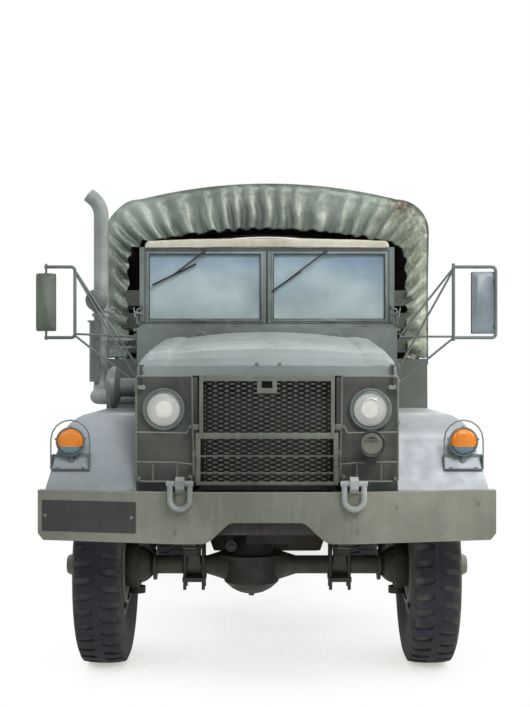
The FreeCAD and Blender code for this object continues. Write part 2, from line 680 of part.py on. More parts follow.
def exhaust_shield():
    """The half-round guard outboard of the pipe, on two tabs."""
    x, y = EXHAUST
    shield = ring((x, y, 1500), (x, y, 1860), 72, 68)
    half = shield.common(box(x - 80, x + 12, y - 80, y + 80, 1500, 1860))
    tabs = [box(x - 69, x - 44, y - 8, y + 8, z, z + 12) for z in (1560, 1790)]
    return fuse([half] + tabs)


def air_intake():
    return turned([(0, 0), (0, 51), (167, 51), (190, 112), (214, 116), (237, 96), (237, 0)],
                  (-NOSE_HALF, 100, 1476), (-1, 0, 0))


# ---- Cab

def cab_shell():
    """The cowl, floor and back with their door openings; the back's corners are round."""
    tub = box(-CAB_HALF, CAB_HALF, COWL_Y, CAB_BACK, CAB_FLOOR - 30, SILL_Z)
    corners = [e for e in tub.Edges if abs(e.CenterOfMass.y - CAB_BACK) < 1 and abs(e.CenterOfMass.x) > 700]
    tub = tub.makeFillet(CAB_CORNER, corners)
    inside = box(-CAB_HALF + WALL, CAB_HALF - WALL, COWL_Y + 20, CAB_BACK - WALL, CAB_FLOOR, SILL_Z + 1)
    doorway = box(-CAB_HALF - 1, CAB_HALF + 1, DOOR_Y0 - 6, DOOR_Y1 + 6, CAB_FLOOR, SILL_Z + 1)
    above_back = box(-CAB_HALF - 1, CAB_HALF + 1, DOOR_Y1, CAB_BACK + 1, DASH_Z, SILL_Z + 1)
    shelf = box(-CAB_HALF, CAB_HALF, COWL_Y, SCREEN_Y + 20, DASH_Z, SILL_Z)
    mounts = both(fuse([box(354, 430, y, y + 90, RAIL_Z1, CAB_FLOOR - 30) for y in (640, 1600)]))
    ribs = [box(x - 14, x + 14, CAB_BACK, CAB_BACK + 8, CAB_FLOOR + 40, DASH_Z - 60)
            for x in (-520, -260, 0, 260, 520)]
    hinge_room = both(rod((*DOOR_HINGE, CAB_FLOOR - 31), (*DOOR_HINGE, SILL_Z + 1), 13))
    return fuse([cut(tub, [inside, doorway, above_back] + hinge_room), shelf] + mounts + ribs)


def windscreen_frame():
    y0, y1 = SCREEN_Y - 22, SCREEN_Y + 14
    frame_plate = box(-SCREEN_HALF, SCREEN_HALF, y0, y1, SCREEN_Z0, SCREEN_Z1)
    panes = [box(*sorted((s * PANE_X0, s * PANE_X1)), y0 - 1, y1 + 1, PANE_Z0, PANE_Z1)
             for s in (-1, 1)]
    foot = box(-SCREEN_HALF, SCREEN_HALF, y0, y1, SILL_Z, SCREEN_Z0)
    return fuse([cut(frame_plate, panes), foot])


def windscreen_glass():
    return group(both(box(PANE_X0, PANE_X1, SCREEN_Y - 8, SCREEN_Y - 2, PANE_Z0, PANE_Z1)))


def wipers():
    """Arms and blades that hang from spindles over the panes."""
    y = SCREEN_Y - 22
    parts = []
    # columns: spindle x, blade's outer end x and z, blade's inner end x and z
    for x, xa, za, xb, zb in ((-378, -685, 2078, -425, 2204), (350, 30, 2040, 200, 2160)):
        pivot = rod((x, y, 2278), (x, y - 26, 2278), 13)
        middle = ((xa + xb) / 2, (za + zb) / 2)
        arm = rod((x, y - 20, 2278), (middle[0], y - 20, middle[1]), 5)
        blade = rod((xa, y - 10, za), (xb, y - 10, zb), 6)
        post = rod((middle[0], y - 21, middle[1]), (middle[0], y - 9, middle[1]), 4)
        parts.append(fuse([pivot, arm, post, blade]))
    return group(parts)


def door(side):
    """A door whose window frame is one piece with its pressed lower panel; it hangs by two straps."""
    x0, x1 = CAB_HALF - WALL, CAB_HALF
    low, top = CAB_FLOOR + 6, SCREEN_Z1 - 8
    panel = box(x0, x1, DOOR_Y0, DOOR_Y1, low, top)
    window = box(x0 - 1, x1 + 1, DOOR_Y0 + 40, DOOR_Y1 - 40, SILL_Z, top - 36)
    pressing = rounded(box(x1 - 6, x1 + 1, DOOR_Y0 + 80, DOOR_Y1 - 80, low + 70, SILL_Z - 170),
                       V(1, 0, 0), 45)
    parts = [cut(panel, [window, pressing]),
             box(x1, x1 + 34, DOOR_Y1 - 150, DOOR_Y1 - 132, 1700, 1716),
             box(x1 + 22, x1 + 34, DOOR_Y1 - 150, DOOR_Y1 - 40, 1700, 1716)]
    for z in (low + 80, SILL_Z - 120):
        parts.append(rod((*DOOR_HINGE, z), (*DOOR_HINGE, z + 60), 7))
        parts.append(box(x1, x1 + 8, DOOR_HINGE[1], DOOR_Y0 + 70, z + 8, z + 52))
    shape = fuse(parts)
    return shape if side > 0 else mirrored(shape)


def door_glass(side):
    x = CAB_HALF - WALL / 2
    glass = box(x - 3, x + 3, DOOR_Y0 + 40, DOOR_Y1 - 40, SILL_Z, SCREEN_Z1 - 44)
    return glass if side > 0 else mirrored(glass)


def arch_wire(y, half, z_low, z_side, z_top, r):
    """An arched section at y: straight sides, round shoulders of radius r, a crowned top."""
    q = r * (1 - sqrt(0.5))
    right = [V(half, y, z_low), V(half, y, z_side - r), V(half - q, y, z_side - q), V(half - r, y, z_side)]
    left = [V(-p.x, p.y, p.z) for p in right]
    edges = [Part.makeLine(left[0], right[0]), Part.makeLine(right[0], right[1]),
             Part.Arc(right[1], right[2], right[3]).toShape(),
             Part.Arc(right[3], V(0, y, z_top), left[3]).toShape(),
             Part.Arc(left[3], left[2], left[1]).toShape(), Part.makeLine(left[1], left[0])]
    return Part.Wire(edges)


def cab_roof():
    """The canvas roof, open below, with its rear curtain and the window in it."""
    half, t = CAB_HALF, 12.0
    low = SCREEN_Z1 + 2
    y0, y1 = SCREEN_Y - 26, CAB_BACK + 12
    # columns: y, half width, height of the side's top, height of the crown
    rows = [(y0, 728, 2340, 2352), (1000, 748, 2362, 2384), (y1, half, 2376, 2404)]
    room = [(y0 + t, 729, 2341, 2353), (1000, 748, 2362, 2384), (y1 - t, half, 2376, 2404)]
    outer = Part.makeLoft([arch_wire(y, wide, low, side, top, 28) for y, wide, side, top in rows],
                          True, True)
    inner = Part.makeLoft([arch_wire(y, wide - t, low - 20, side - t, top - t, 22)
                           for y, wide, side, top in room], True, True)
    curtain = box(-half, half, y1 - t, y1, DASH_Z + 2, 2330)
    quarters = both(box(half - t, half, DOOR_Y1 + 6, y1, DASH_Z + 2, low + 10))
    window = rounded(box(-330, 330, y1 - t - 2, y1 + 2, 1960, 2200), V(0, 1, 0), 40)
    return fuse([outer.cut(inner), curtain] + quarters).cut(window)


def seat_frames():
    """Open-fronted boxes under the cushions, with a sheet behind each backrest."""
    frames = []
    for x0, x1 in SEATS:
        case = box(x0, x1, 1130, 1580, CAB_FLOOR, 1380)
        room = box(x0 + 12, x1 - 12, 1129, 1568, CAB_FLOOR + 40, 1360)
        back = rounded(box(x0, x1, 1560, 1580, 1340, 1960), V(0, 1, 0), 40)
        frames.append(fuse([case.cut(room), back]))
    return group(frames)


def seat_pads():
    pads = []
    for x0, x1 in SEATS:
        pads.append(rounded(box(x0 + 4, x1 - 4, 1120, 1545, 1381, 1480), V(1, 0, 0), 36))
        pads.append(rounded(box(x0 + 4, x1 - 4, 1470, 1559, 1490, 1975), V(1, 0, 0), 36))
    return group(pads)


def steering_wheel():
    """A rim with three spokes on its hub, and the column down to the floor."""
    x, y, z = STEER
    a = radians(STEER_TILT)
    centre = V(*STEER)
    axis = V(0, sin(a), cos(a))
    across = V(0, cos(a), -sin(a))
    rim_r, grip = 222.0, 13.0
    rim_ring = Part.makeTorus(rim_r, grip, centre, axis)
    hub = Part.makeCylinder(38, 50, centre - axis * 55, axis)
    spokes = []
    for turn in (0, 120, 240):
        t = radians(turn)
        out = V(1, 0, 0) * sin(t) - across * cos(t)
        spokes.append(Part.makeCylinder(7, rim_r - 30, centre - axis * 25 + out * 30, out + axis * 0.13))
    wall = COWL_Y + 20
    length = (y - wall - 24) / sin(a)
    column = Part.makeCylinder(24, length - 55, centre - axis * length, axis)
    foot_z = z - length * cos(a)
    foot = box(x - 60, x + 60, wall, wall + 34, foot_z - 70, foot_z + 70)
    return fuse([rim_ring, hub, column, foot] + spokes)


def dashboard():
    panel = plate_x([(COWL_Y + 20, 1600), (780, 1610), (800, 1680), (790, DASH_Z), (COWL_Y + 20, DASH_Z)],
                    -730, 730)
    cluster = rounded(box(-190, 190, 780, 806, 1650, 1770), V(0, 1, 0), 50)
    return fuse([panel, cluster])


def mirror_braces(inner, braces):
    """Rods to a plate on the cowl; braces pair a height on the upright with a foot's."""
    parts = [rounded(box(CAB_HALF, CAB_HALF + 26, 580, 626, 1480, 1800), V(1, 0, 0), 20)]
    for height, foot_z in braces:
        parts.append(rod((inner, MIRROR_Y, height), (CAB_HALF + 18, 603, foot_z), 8))
    return parts


def mirror_left():
    """A head inside a tube loop on an upright bar."""
    inner, outer = 1102.0, MIRROR_REACH - MIRROR_TUBE_R
    corners = [(inner, MIRROR_Z1), (outer, MIRROR_Z1), (outer, MIRROR_Z0), (inner, MIRROR_Z0)]
    loop = tube([(x, MIRROR_Y, z) for x, z in corners], MIRROR_TUBE_R, 26)
    upright = rod((inner, MIRROR_Y, MIRROR_Z1 + 20), (inner, MIRROR_Y, MIRROR_Z0 - 20), MIRROR_TUBE_R)
    head = rounded(box(1213, outer + 2, MIRROR_Y + 30, MIRROR_Y + 62, 1785, 2153), V(0, 1, 0), 22)
    lugs = [rod((outer, MIRROR_Y, z), (outer, MIRROR_Y + 36, z), 10) for z in (1834, 2096)]
    braces = mirror_braces(inner, [(2174, 1770), (2164, 1590), (1768, 1768), (1760, 1500)])
    return fuse(braces + [loop, upright, head] + lugs)


def mirror_right():
    """A head on pins between the ends of a bent tube, and a round mirror on the upper brace."""
    inner, pin_x = 1135.0, MIRROR_REACH - 58
    corners = [(pin_x + 9, MIRROR_Z1), (inner, MIRROR_Z1), (inner, MIRROR_Z0), (pin_x + 9, MIRROR_Z0)]
    bow = tube([(x, MIRROR_Y, z) for x, z in corners], MIRROR_TUBE_R, 26)
    pins = [rod((pin_x, MIRROR_Y, z0), (pin_x, MIRROR_Y, z1), 7) for z0, z1 in ((1748, 1830), (2110, 2198))]
    head = rounded(box(MIRROR_REACH - 116, MIRROR_REACH, MIRROR_Y - 14, MIRROR_Y + 18, 1800, 2141),
                   V(0, 1, 0), 22)
    disc = turned([(0, 0), (0, 50), (8, 64), (24, 66), (24, 0)], (1012, MIRROR_Y + 10, 1985), (0, 1, 0))
    braces = mirror_braces(inner, [(2160, 1618), (2148, 1540), (1784, 1768), (1774, 1500)])
    return mirrored(fuse(braces + [bow] + pins + [head, disc]))


def step_boxes():
    """The battery box and the tool box under the doors, each on its tread plate and two brackets."""
    case = rounded(box(560, 1010, 830, 1600, 650, 950), V(0, 0, 1), 24)
    lid = rounded(box(554, 1016, 824, 1606, 950, 966), V(0, 0, 1), 28)
    tread = plate_z([(560, 730), (1060, 730), (1095, 765), (1095, 1655), (1060, 1690), (560, 1690)],
                    622, 650)
    stays = [plate_y([(RAIL_X, 800), (RAIL_X, 640), (560, 640), (560, 700)], y, y + 12) for y in (880, 1540)]
    doors = [rounded(box(1006, 1016, y, y + 350, 690, 910), V(1, 0, 0), 24) for y in (850, 1230)]
    return group(both(fuse([case, lid, tread] + stays + doors)))


def fuel_tank():
    x0, x1, y0, y1, z0, z1 = -1020.0, -500.0, 1950.0, 2620.0, 640.0, 1150.0
    tank = rounded(box(x0, x1, y0, y1, z0, z1), V(0, 1, 0), 110)
    straps = [box(-500, -RAIL_X, y, y + 50, 780, 940) for y in (y0 + 100, y1 - 150)]
    filler = rod((-930, y0 + 200, 1120), (-990, y0 + 200, 1185), 42)
    return fuse([tank, filler] + straps)


def spare_place(shape):
    """Turn a wheel made for the axle line so that it stands across the vehicle behind the cab."""
    shape = shape.copy()
    shape.translate(V(0, 0, -AXLE_Z))
    shape.rotate(V(0, 0, 0), V(0, 0, 1), 90)
    shape.translate(V(*SPARE))
    return shape


def spare_carrier():
    """A foot across the frame, a plate behind the wheel, and a plug in the wheel's middle."""
    x, y, z = SPARE
    face = y + DISC_OFFSET
    plate = box(x - 110, x + 110, face, face + 15, RAIL_Z1, z + 130)
    foot = box(-RAIL_X, RAIL_X, y + 20, face + 15, RAIL_Z1, RAIL_Z1 + 20)
    plug = rod((x, face - 20, z), (x, face + 4, z), 92)
    return fuse([plate, foot, plug])


# ---- Cargo

def cargo_bed():
    """The steel bed on its sills and cross-bearers, with tapered stake pockets down the sides."""
    floor = box(-BED_HALF, BED_HALF, BED_Y0, BED_Y1, BED_FLOOR - 40, BED_FLOOR)
    front = box(-BED_HALF, BED_HALF, BED_Y0, BED_Y0 + BED_WALL, BED_FLOOR, BED_TOP)
    sides = both(box(BED_HALF - BED_WALL, BED_HALF, BED_Y0, BED_Y1, BED_FLOOR, BED_TOP))
    sills = both(box(352, 432, BED_Y0 + 60, BED_Y1 - 40, 1170, BED_FLOOR - 40))
    cross = [box(-BED_HALF + 30, BED_HALF - 30, y, y + 60, 1225, BED_FLOOR - 40)
             for y in (2100, 2700, 3300, 3900, 4500, 5100, 5660)]
    lifts = both(box(360, 424, BED_Y0 + 60, RAIL_Y1, RAIL_Z1, 1170))
    rail = both(plate_y([(BED_HALF, BED_TOP - 46), (BED_HALF + 12, BED_TOP - 40),
                         (BED_HALF + 12, BED_TOP - 6), (BED_HALF, BED_TOP)], BED_Y0, BED_Y1))
    pockets = []
    for y in STAKES:
        pockets += both(plate_x([(y - 22, BED_FLOOR - 40), (y + 82, BED_FLOOR - 40),
                                 (y + 70, BED_TOP - 44), (y - 10, BED_TOP - 44)],
                                BED_HALF, BED_HALF + 12))
    return fuse([floor, front] + sides + sills + cross + lifts + rail + pockets)


def cargo_racks():
    """Three slats along each side of the bed and three across its front."""
    x = BED_HALF - BED_WALL - POST_T
    slats = []
    for z in RACK_SLATS:
        slats += both(box(x - SLAT_T, x, BED_Y0 + 50, BED_Y1 - 60, z, z + SLAT_H))
        slats.append(box(-x + 30, x - 30, BED_Y0 + 20, BED_Y0 + BED_WALL, z, z + SLAT_H))
    return group(slats)


def rack_posts():
    """The slats' uprights: six stand against each side wall, three on the front one."""
    x = BED_HALF - BED_WALL
    posts = []
    for y in STAKES:
        posts += both(box(x - POST_T, x, y, y + 60, BED_FLOOR + 60, RACK_TOP))
    for middle in (-700, 0, 700):
        posts.append(box(middle - 30, middle + 30, BED_Y0 + BED_WALL, BED_Y0 + BED_WALL + POST_T,
                         BED_FLOOR + 60, RACK_TOP))
    return group(posts)


def cargo_bows():
    """Wooden bows that carry the cover."""
    bows = []
    for y in [BED_Y0 + 230 + i * 810 for i in range(5)]:
        outer = Part.Face(arch_wire(y, 1052, RACK_TOP + 4, 2740, 2846, 190)).extrude(V(0, 40, 0))
        inner = Part.Face(arch_wire(y - 1, 1020, RACK_TOP - 10, 2708, 2814, 160)).extrude(V(0, 42, 0))
        bows.append(outer.cut(inner))
    return group(bows)


def cargo_cover():
    """The canvas shell: arched sides and top, an open gathered front, and a closed rear."""
    t = 14.0
    low = BED_TOP + 6
    half = BED_HALF + 22
    y0, y1 = BED_Y0, BED_Y1 - 20

    def form(inset, ya, yb, z_low):
        sections = [arch_wire(y, half - inset, z_low, 2762 - inset, COVER_TOP - inset, 200 - inset)
                    for y in (ya, yb)]
        return Part.makeLoft(sections, True, True)
    shell = form(0, y0, y1, low).cut(form(t, y0 + t, y1 - t, low - 10))
    opening = Part.Face(arch_wire(y0 - 5, 975, low - 5, 2470, 2560, 120)).extrude(V(0, 40, 0))
    return shell.cut(opening)


def rear_fittings():
    """Pintle hook, tail lamps on their brackets, and the mudflaps' hangers."""
    y = RAIL_Y1
    z = 838.0
    hook = fuse([box(-90, 90, y, y + 16, z - 68, z + 62), rod((0, y + 16, z), (0, y + 60, z), 34),
                 box(-26, 26, y + 40, REAR_END, z - 30, z + 10),
                 box(-26, 26, REAR_END - 26, REAR_END, z + 10, z + 42)])
    lamp = fuse([box(640, 780, 5640, 5700, 1090, 1225), rod((680, 5700, 1160), (680, 5724, 1160), 34),
                 rod((746, 5700, 1160), (746, 5724, 1160), 26)])
    return [hook] + both(lamp)


def mudflaps():
    flap = box(640, 1110, 5180, 5190, 560, 1224)
    front = box(640, 1110, 2690, 2700, 700, 1224)
    return both(flap) + both(front)


def tailgate():
    half = BED_HALF - 3
    y = BED_Y1 + 6
    panel = box(-half, half, y, y + 40, BED_FLOOR - 30, BED_TOP)
    ribs = [box(x - 30, x + 30, y + 40, y + 56, BED_FLOOR - 30, BED_TOP - 20)
            for x in (-900, -450, 0, 450, 900)]
    return fuse([panel] + ribs)


def main():
    save("frame_rails", group(both(frame_rail())))
    save("crossmembers", crossmembers())
    save("front_bumper", front_bumper())
    save("tow_shackles", tow_shackles())
    save("axles", group([front_axle()] + rear_axles()))
    save("leaf_springs", group(front_springs() + rear_springs()))
    save("powertrain", powertrain())
    save("prop_shafts", prop_shafts())
    save("radiator", radiator())
    save("exhaust_stack", fuse([exhaust_stack(), exhaust_shield()]))
    save("air_intake", air_intake())
    save("front_wings", front_wings())
    save("nose_panels", group(nose_panels()))
    save("brush_guard", brush_guard())
    save("guard_mesh", guard_mesh())
    save("headlamps", group(headlamps() + [blackout_lamp()]))
    save("turn_lamps", turn_lamps())
    save("hood", hood())
    save("cab_shell", cab_shell())
    save("windscreen_frame", windscreen_frame())
    save("windscreen_glass", windscreen_glass())
    save("wipers", wipers())
    save("cab_roof", cab_roof())
    save("seat_frames", seat_frames())
    save("seat_pads", seat_pads())
    save("steering_wheel", steering_wheel())
    save("dashboard", dashboard())
    save("mirrors", group([mirror_left(), mirror_right()]))
    save("step_boxes", step_boxes())
    save("fuel_tank", fuel_tank())
    save("spare_rim", fuse([spare_carrier(), spare_place(rim(0, 0, 1))]))
    save("spare_tyre", spare_place(tyre(0, 0)))
    save("cargo_bed", cargo_bed())
    save("cargo_racks", cargo_racks())
    save("rack_posts", rack_posts())
    save("cargo_bows", cargo_bows())
    save("cargo_cover", cargo_cover())
    save("tailgate", tailgate())
    save("rear_fittings", group(rear_fittings() + mudflaps()))
    save("tie_rod", tie_rod())
    for name, side in SIDES.items():
        save("door_" + name, door(side))
        save("door_glass_" + name, door_glass(side))
        save("knuckle_" + name, knuckle(side))
        rim_shape, tyre_shape, hub = front_wheel(side)
        save("front_rim_" + name, fuse([rim_shape, hub]))
        save("front_tyre_" + name, tyre_shape)
        for axle, y in REAR_AXLES.items():
            rims, tyres, hub = rear_wheel(side, y)
            place = "rear_%%s_%s_%s" % (axle, name)
            save(place % "rims", fuse(rims.Solids + [hub]))
            save(place % "tyres", tyres)


main()
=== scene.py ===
# %% [markdown]
# A lesson in dressing a CAD frame: a bonneted six-wheel army cargo truck.
# The frame holds every rigid piece at its real size.  This script gives each surface its finish,
# makes the canvas as real folded cloth, and adds the tread, the mesh and the small hardware.

# %% Load the frame
import bpy
import bmesh
import math
from mathutils import Matrix, Vector, noise
from mathutils.bvhtree import BVHTree


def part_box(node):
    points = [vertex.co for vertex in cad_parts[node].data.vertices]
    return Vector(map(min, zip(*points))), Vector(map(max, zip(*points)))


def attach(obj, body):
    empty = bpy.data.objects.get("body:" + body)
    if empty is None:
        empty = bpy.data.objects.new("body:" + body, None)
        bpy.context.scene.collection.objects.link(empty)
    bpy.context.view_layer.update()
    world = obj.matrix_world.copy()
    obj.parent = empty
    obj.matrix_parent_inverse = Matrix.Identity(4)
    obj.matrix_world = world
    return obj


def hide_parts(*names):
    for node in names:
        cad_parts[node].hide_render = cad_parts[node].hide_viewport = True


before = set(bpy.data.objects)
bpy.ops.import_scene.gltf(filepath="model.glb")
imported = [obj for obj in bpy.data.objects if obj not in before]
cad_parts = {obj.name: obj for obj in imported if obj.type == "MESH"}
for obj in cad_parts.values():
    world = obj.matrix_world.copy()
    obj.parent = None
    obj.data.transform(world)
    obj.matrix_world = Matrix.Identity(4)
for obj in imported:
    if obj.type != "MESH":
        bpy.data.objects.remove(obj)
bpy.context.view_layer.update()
MM = 0.001

# %% [markdown]
# Positions come from the frame: the front axle's line is the middle of a front tyre's box, and
# everything on the nose and cab is placed by its distance behind that line.

# %% Datum lines
tyre_low, tyre_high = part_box("front_tyre_left")
AXLE_Y = (tyre_low.y + tyre_high.y) / 2
AXLE_Z = (tyre_low.z + tyre_high.z) / 2
print("front axle at y %.3f, z %.3f" % (AXLE_Y, AXLE_Z))


def at(x, behind, z):
    """A point given by its distance behind the front axle, in metres."""
    return Vector((x, AXLE_Y + behind, z))


# %% [markdown]
# Colours are written as sRGB hex, as on a paint card, but the shader works in linear light.  One
# function turns the one into the other, and one adds a node with its settings and links.

# %% Colour and node helpers
def linear(code):
    """An sRGB hex colour as linear RGBA."""
    parts = [int(code[i:i + 2], 16) / 255 for i in (1, 3, 5)]
    return [c / 12.92 if c <= 0.04045 else ((c + 0.055) / 1.055) ** 2.4 for c in parts] + [1.0]


def node(tree, kind, inputs=None, stops=None, out=None, **settings):
    """Add a node and return its output, the first one or the one named by out.

    inputs maps a socket's name or place to a value, a hex colour or another node's output, and
    stops are a colour ramp's (position, hex colour or grey level) pairs.
    """
    made = tree.nodes.new(kind)
    for name, value in settings.items():
        setattr(made, name, value)
    for key, value in (inputs or {}).items():
        socket = made.inputs[key] if isinstance(key, int) else next(
            s for s in made.inputs if s.name == key and s.enabled)
        if isinstance(value, bpy.types.NodeSocket):
            tree.links.new(value, socket)
        else:
            socket.default_value = linear(value) if isinstance(value, str) else value
    for i, (place, value) in enumerate(stops or []):
        elements = made.color_ramp.elements
        element = elements[i] if i < 2 else elements.new(place)
        element.position = place
        element.color = linear(value) if isinstance(value, str) else (value, value, value, 1)
    return made.outputs[out] if out else next(o for o in made.outputs if o.enabled)


def feed(tree, shader, **links):
    """Link outputs to a shader's sockets; an underscore stands for a space in a socket's name."""
    for name, value in links.items():
        tree.links.new(value, shader.inputs[name.replace("_", " ")])


def material(name, roughness=0.5, metallic=0.0, **sockets):
    """A material with its Principled shader; sockets set plain values and hex colours on it."""
    made = bpy.data.materials.new(name)
    made.use_nodes = True
    shader = made.node_tree.nodes["Principled BSDF"]
    shader.inputs["Roughness"].default_value = roughness
    shader.inputs["Metallic"].default_value = metallic
    for key, value in sockets.items():
        value = linear(value) if isinstance(value, str) else value
        shader.inputs[key.replace("_", " ")].default_value = value
    return made, made.node_tree, shader


print("half grey in linear light:", round(linear("#808080")[0], 3))

# %% [markdown]
# Vehicle enamel is a satin, slightly chalky grey-green.  Rain and wiping leave broad pale clouds
# and upright streaks, a fine grain breaks the sheen, and dust lies on the faces that look up; on
# the hood that mask is a painted lighter top instead, light from above painted into the colour.
# The bump of broad dents and of the paint's own skin is faint.  One function makes every painted
# finish from its own colours, so the wings, the hood and the bumper can differ as repainted panels
# do.

# %% Painted metal
def enamel(name, base, pale, dark, roughness=0.42, dust=0.35, dust_code="#a7a290", speckle=0.8,
           streak=0.45):
    """Painted metal; dust, speckle and streak are how strong each of them shows."""
    made, tree, shader = material(name, roughness)
    place = node(tree, "ShaderNodeTexCoord", out="Object")
    cloud = node(tree, "ShaderNodeTexNoise", {"Vector": place, "Scale": 1 / (620 * MM),
                                              "Detail": 4.0, "Roughness": 0.62})
    colour = node(tree, "ShaderNodeValToRGB", {"Fac": cloud},
                  [(0.36, dark), (0.52, base), (0.70, pale)])
    grain = node(tree, "ShaderNodeTexNoise", {"Vector": place, "Scale": 1 / (14 * MM),
                                              "Detail": 5.0, "Roughness": 0.7})
    specks = node(tree, "ShaderNodeValToRGB", {"Fac": grain}, [(0.30, 0.86), (0.62, 1.0)])
    colour = node(tree, "ShaderNodeMix", {"Factor": speckle, "A": colour, "B": specks},
                  data_type="RGBA", blend_type="MULTIPLY")
    upright = node(tree, "ShaderNodeMapping", {"Vector": place, "Scale": (1.0, 1.0, 0.16)})
    runs = node(tree, "ShaderNodeTexNoise", {"Vector": upright, "Scale": 1 / (46 * MM),
                                             "Detail": 5.0, "Roughness": 0.7})
    streaks = node(tree, "ShaderNodeValToRGB", {"Fac": runs}, [(0.50, 0.0), (0.80, streak)])
    colour = node(tree, "ShaderNodeMix", {"Factor": streaks, "A": colour, "B": pale},
                  data_type="RGBA")
    facing = node(tree, "ShaderNodeNewGeometry", out="Normal")
    up = node(tree, "ShaderNodeSeparateXYZ", {"Vector": facing}, out="Z")
    # Faces that look up take dust_code: real dust on most paints, while the hood's pale grey there is a
    # painted lighter top.
    dust_and_lit_top = node(tree, "ShaderNodeValToRGB", {"Fac": up}, [(0.55, 0.0), (1.0, dust)])
    drift = node(tree, "ShaderNodeTexNoise", {"Vector": place, "Scale": 1 / (160 * MM),
                                              "Detail": 5.0, "Roughness": 0.65})
    dust_and_lit_top = node(tree, "ShaderNodeMath", {0: dust_and_lit_top, 1: drift}, operation="MULTIPLY")
    colour = node(tree, "ShaderNodeMix", {"Factor": dust_and_lit_top, "A": colour, "B": dust_code},
                  data_type="RGBA")
    wiped = node(tree, "ShaderNodeTexNoise", {"Vector": place, "Scale": 1 / (90 * MM),
                                              "Detail": 4.0, "Roughness": 0.6})
    gloss = node(tree, "ShaderNodeValToRGB", {"Fac": wiped},
                 [(0.3, roughness - 0.09), (0.7, roughness + 0.14)])
    dents = node(tree, "ShaderNodeTexNoise", {"Vector": place, "Scale": 1 / (210 * MM),
                                              "Detail": 2.0, "Roughness": 0.5})
    soft = node(tree, "ShaderNodeBump", {"Height": dents, "Distance": 1.6 * MM, "Strength": 0.4})
    peel = node(tree, "ShaderNodeTexNoise", {"Vector": place, "Scale": 1 / (5 * MM),
                                             "Detail": 2.0, "Roughness": 0.5})
    skin = node(tree, "ShaderNodeBump", {"Height": peel, "Distance": 0.12 * MM,
                                         "Strength": 0.3 * speckle, "Normal": soft})
    feed(tree, shader, Base_Color=colour, Roughness=gloss, Normal=skin)
    return made


wing_paint = enamel("satin_enamel_wings", "#8b9192", "#a0a5a6", "#7a8181", 0.34, 0.1, speckle=0.4,
                    streak=0.2)
# The hood's pale grey on faces that look up is a painted lighter top, as light from above shows it; its
# lip stays darker.
hood_paint = enamel("satin_enamel_hood_painted_lit_top", "#7d8582", "#878f8b", "#727a76", 0.34, 0.5, "#a3aaa7",
                    speckle=0.0, streak=0.0)
bumper_paint = enamel("satin_enamel_bumper", "#6c6e60", "#828374", "#5c5f51", 0.50)
cab_paint = enamel("satin_enamel_cab", "#5f6761", "#737b75", "#4e5650", 0.42)
guard_paint = enamel("satin_enamel_guard", "#62665a", "#7b7e72", "#4f5348", 0.48)
screen_paint = enamel("satin_enamel_screen_frame", "#6d7772", "#87928d", "#535c57", 0.42)
chassis_paint = enamel("dusty_enamel_chassis", "#39372e", "#575046", "#211f1c", 0.62, 0.6, "#6f675a")
bed_paint = enamel("satin_enamel_bed", "#545a53", "#676d66", "#454b44", 0.5)
pale_paint = enamel("worn_enamel_shackles", "#7e837f", "#989c97", "#666a66", 0.42)
lamp_paint = enamel("satin_enamel_lamps", "#5c6867", "#74807f", "#454f4e", 0.42)
# The nose panels are dark paint made darker still: painted shade under the hood's lip.
panel_paint_and_shade = enamel("dark_enamel_panels_painted_shade", "#44463f", "#575950", "#2d2f2b", 0.5, 0.2)
black_paint = enamel("black_enamel", "#222423", "#34362f", "#151615", 0.5, 0.25)
# Near-black soot on the engine; on the radiator and the exhaust guard's holes the same black is painted
# shade.
soot_black_and_painted_shade = enamel("sooty_cast_iron_and_painted_shade", "#1d1c1a", "#2c2a26", "#121110", 0.7, 0.4, "#4a443b")
sump_paint = enamel("oily_enamel_sump", "#55513f", "#6d6851", "#332f26", 0.5, 0.3)
print("paints:", len(bpy.data.materials))

# %% [markdown]
# The camera stands at eye level, level and square to the truck's nose, close enough that the
# bumper looks wider than the cargo cover.  Its height and distance decide which surfaces show,
# so they are the first things to fix; the hood's top, for one, reads as a thin crown.

# %% Camera
CAMERA_BACK = 6.70
CAMERA_HEIGHT = 1.60
camera_data = bpy.data.cameras.new("camera")
camera_data.sensor_width = 36.0
camera_data.sensor_fit = "AUTO"
camera_data.lens = 62.9
camera_data.shift_y = 0.0163
camera_data.shift_x = -0.0028
camera = bpy.data.objects.new("camera", camera_data)
camera.location = at(0, -CAMERA_BACK, CAMERA_HEIGHT)
camera.rotation_euler = (math.pi / 2, 0, 0)
bpy.context.collection.objects.link(camera)
scene = bpy.context.scene
scene.camera = camera
scene.view_settings.view_transform = "Standard"
print("camera %.2f m before the axle, %.2f m up" % (CAMERA_BACK, CAMERA_HEIGHT))

# %% [markdown]
# A bright overcast day: one broad soft sky above, a little stronger from the front.  The world
# shows as plain white to the camera and in reflections, and its light stays at a plain level.

# %% World and lamps
world = bpy.data.worlds.new("overcast")
scene.world = world
world.use_nodes = True
sky = world.node_tree
sky.nodes.clear()


def shows(tree):
    """1 for the rays that show a backdrop: the camera's, mirrored and let through; else 0."""
    seen = 0
    for ray in ("Is Camera Ray", "Is Glossy Ray", "Is Transmission Ray"):
        seen = node(tree, "ShaderNodeMath", {0: seen, 1: node(tree, "ShaderNodeLightPath", out=ray)},
                    operation="MAXIMUM")
    return seen


lit = node(sky, "ShaderNodeBackground", {"Color": "#e6edf5", "Strength": 0.46})
shown = node(sky, "ShaderNodeBackground", {"Color": "#ffffff", "Strength": 1.0})
both = node(sky, "ShaderNodeMixShader", {0: shows(sky), 1: lit, 2: shown})
sky.links.new(both, sky.nodes.new("ShaderNodeOutputWorld").inputs["Surface"])


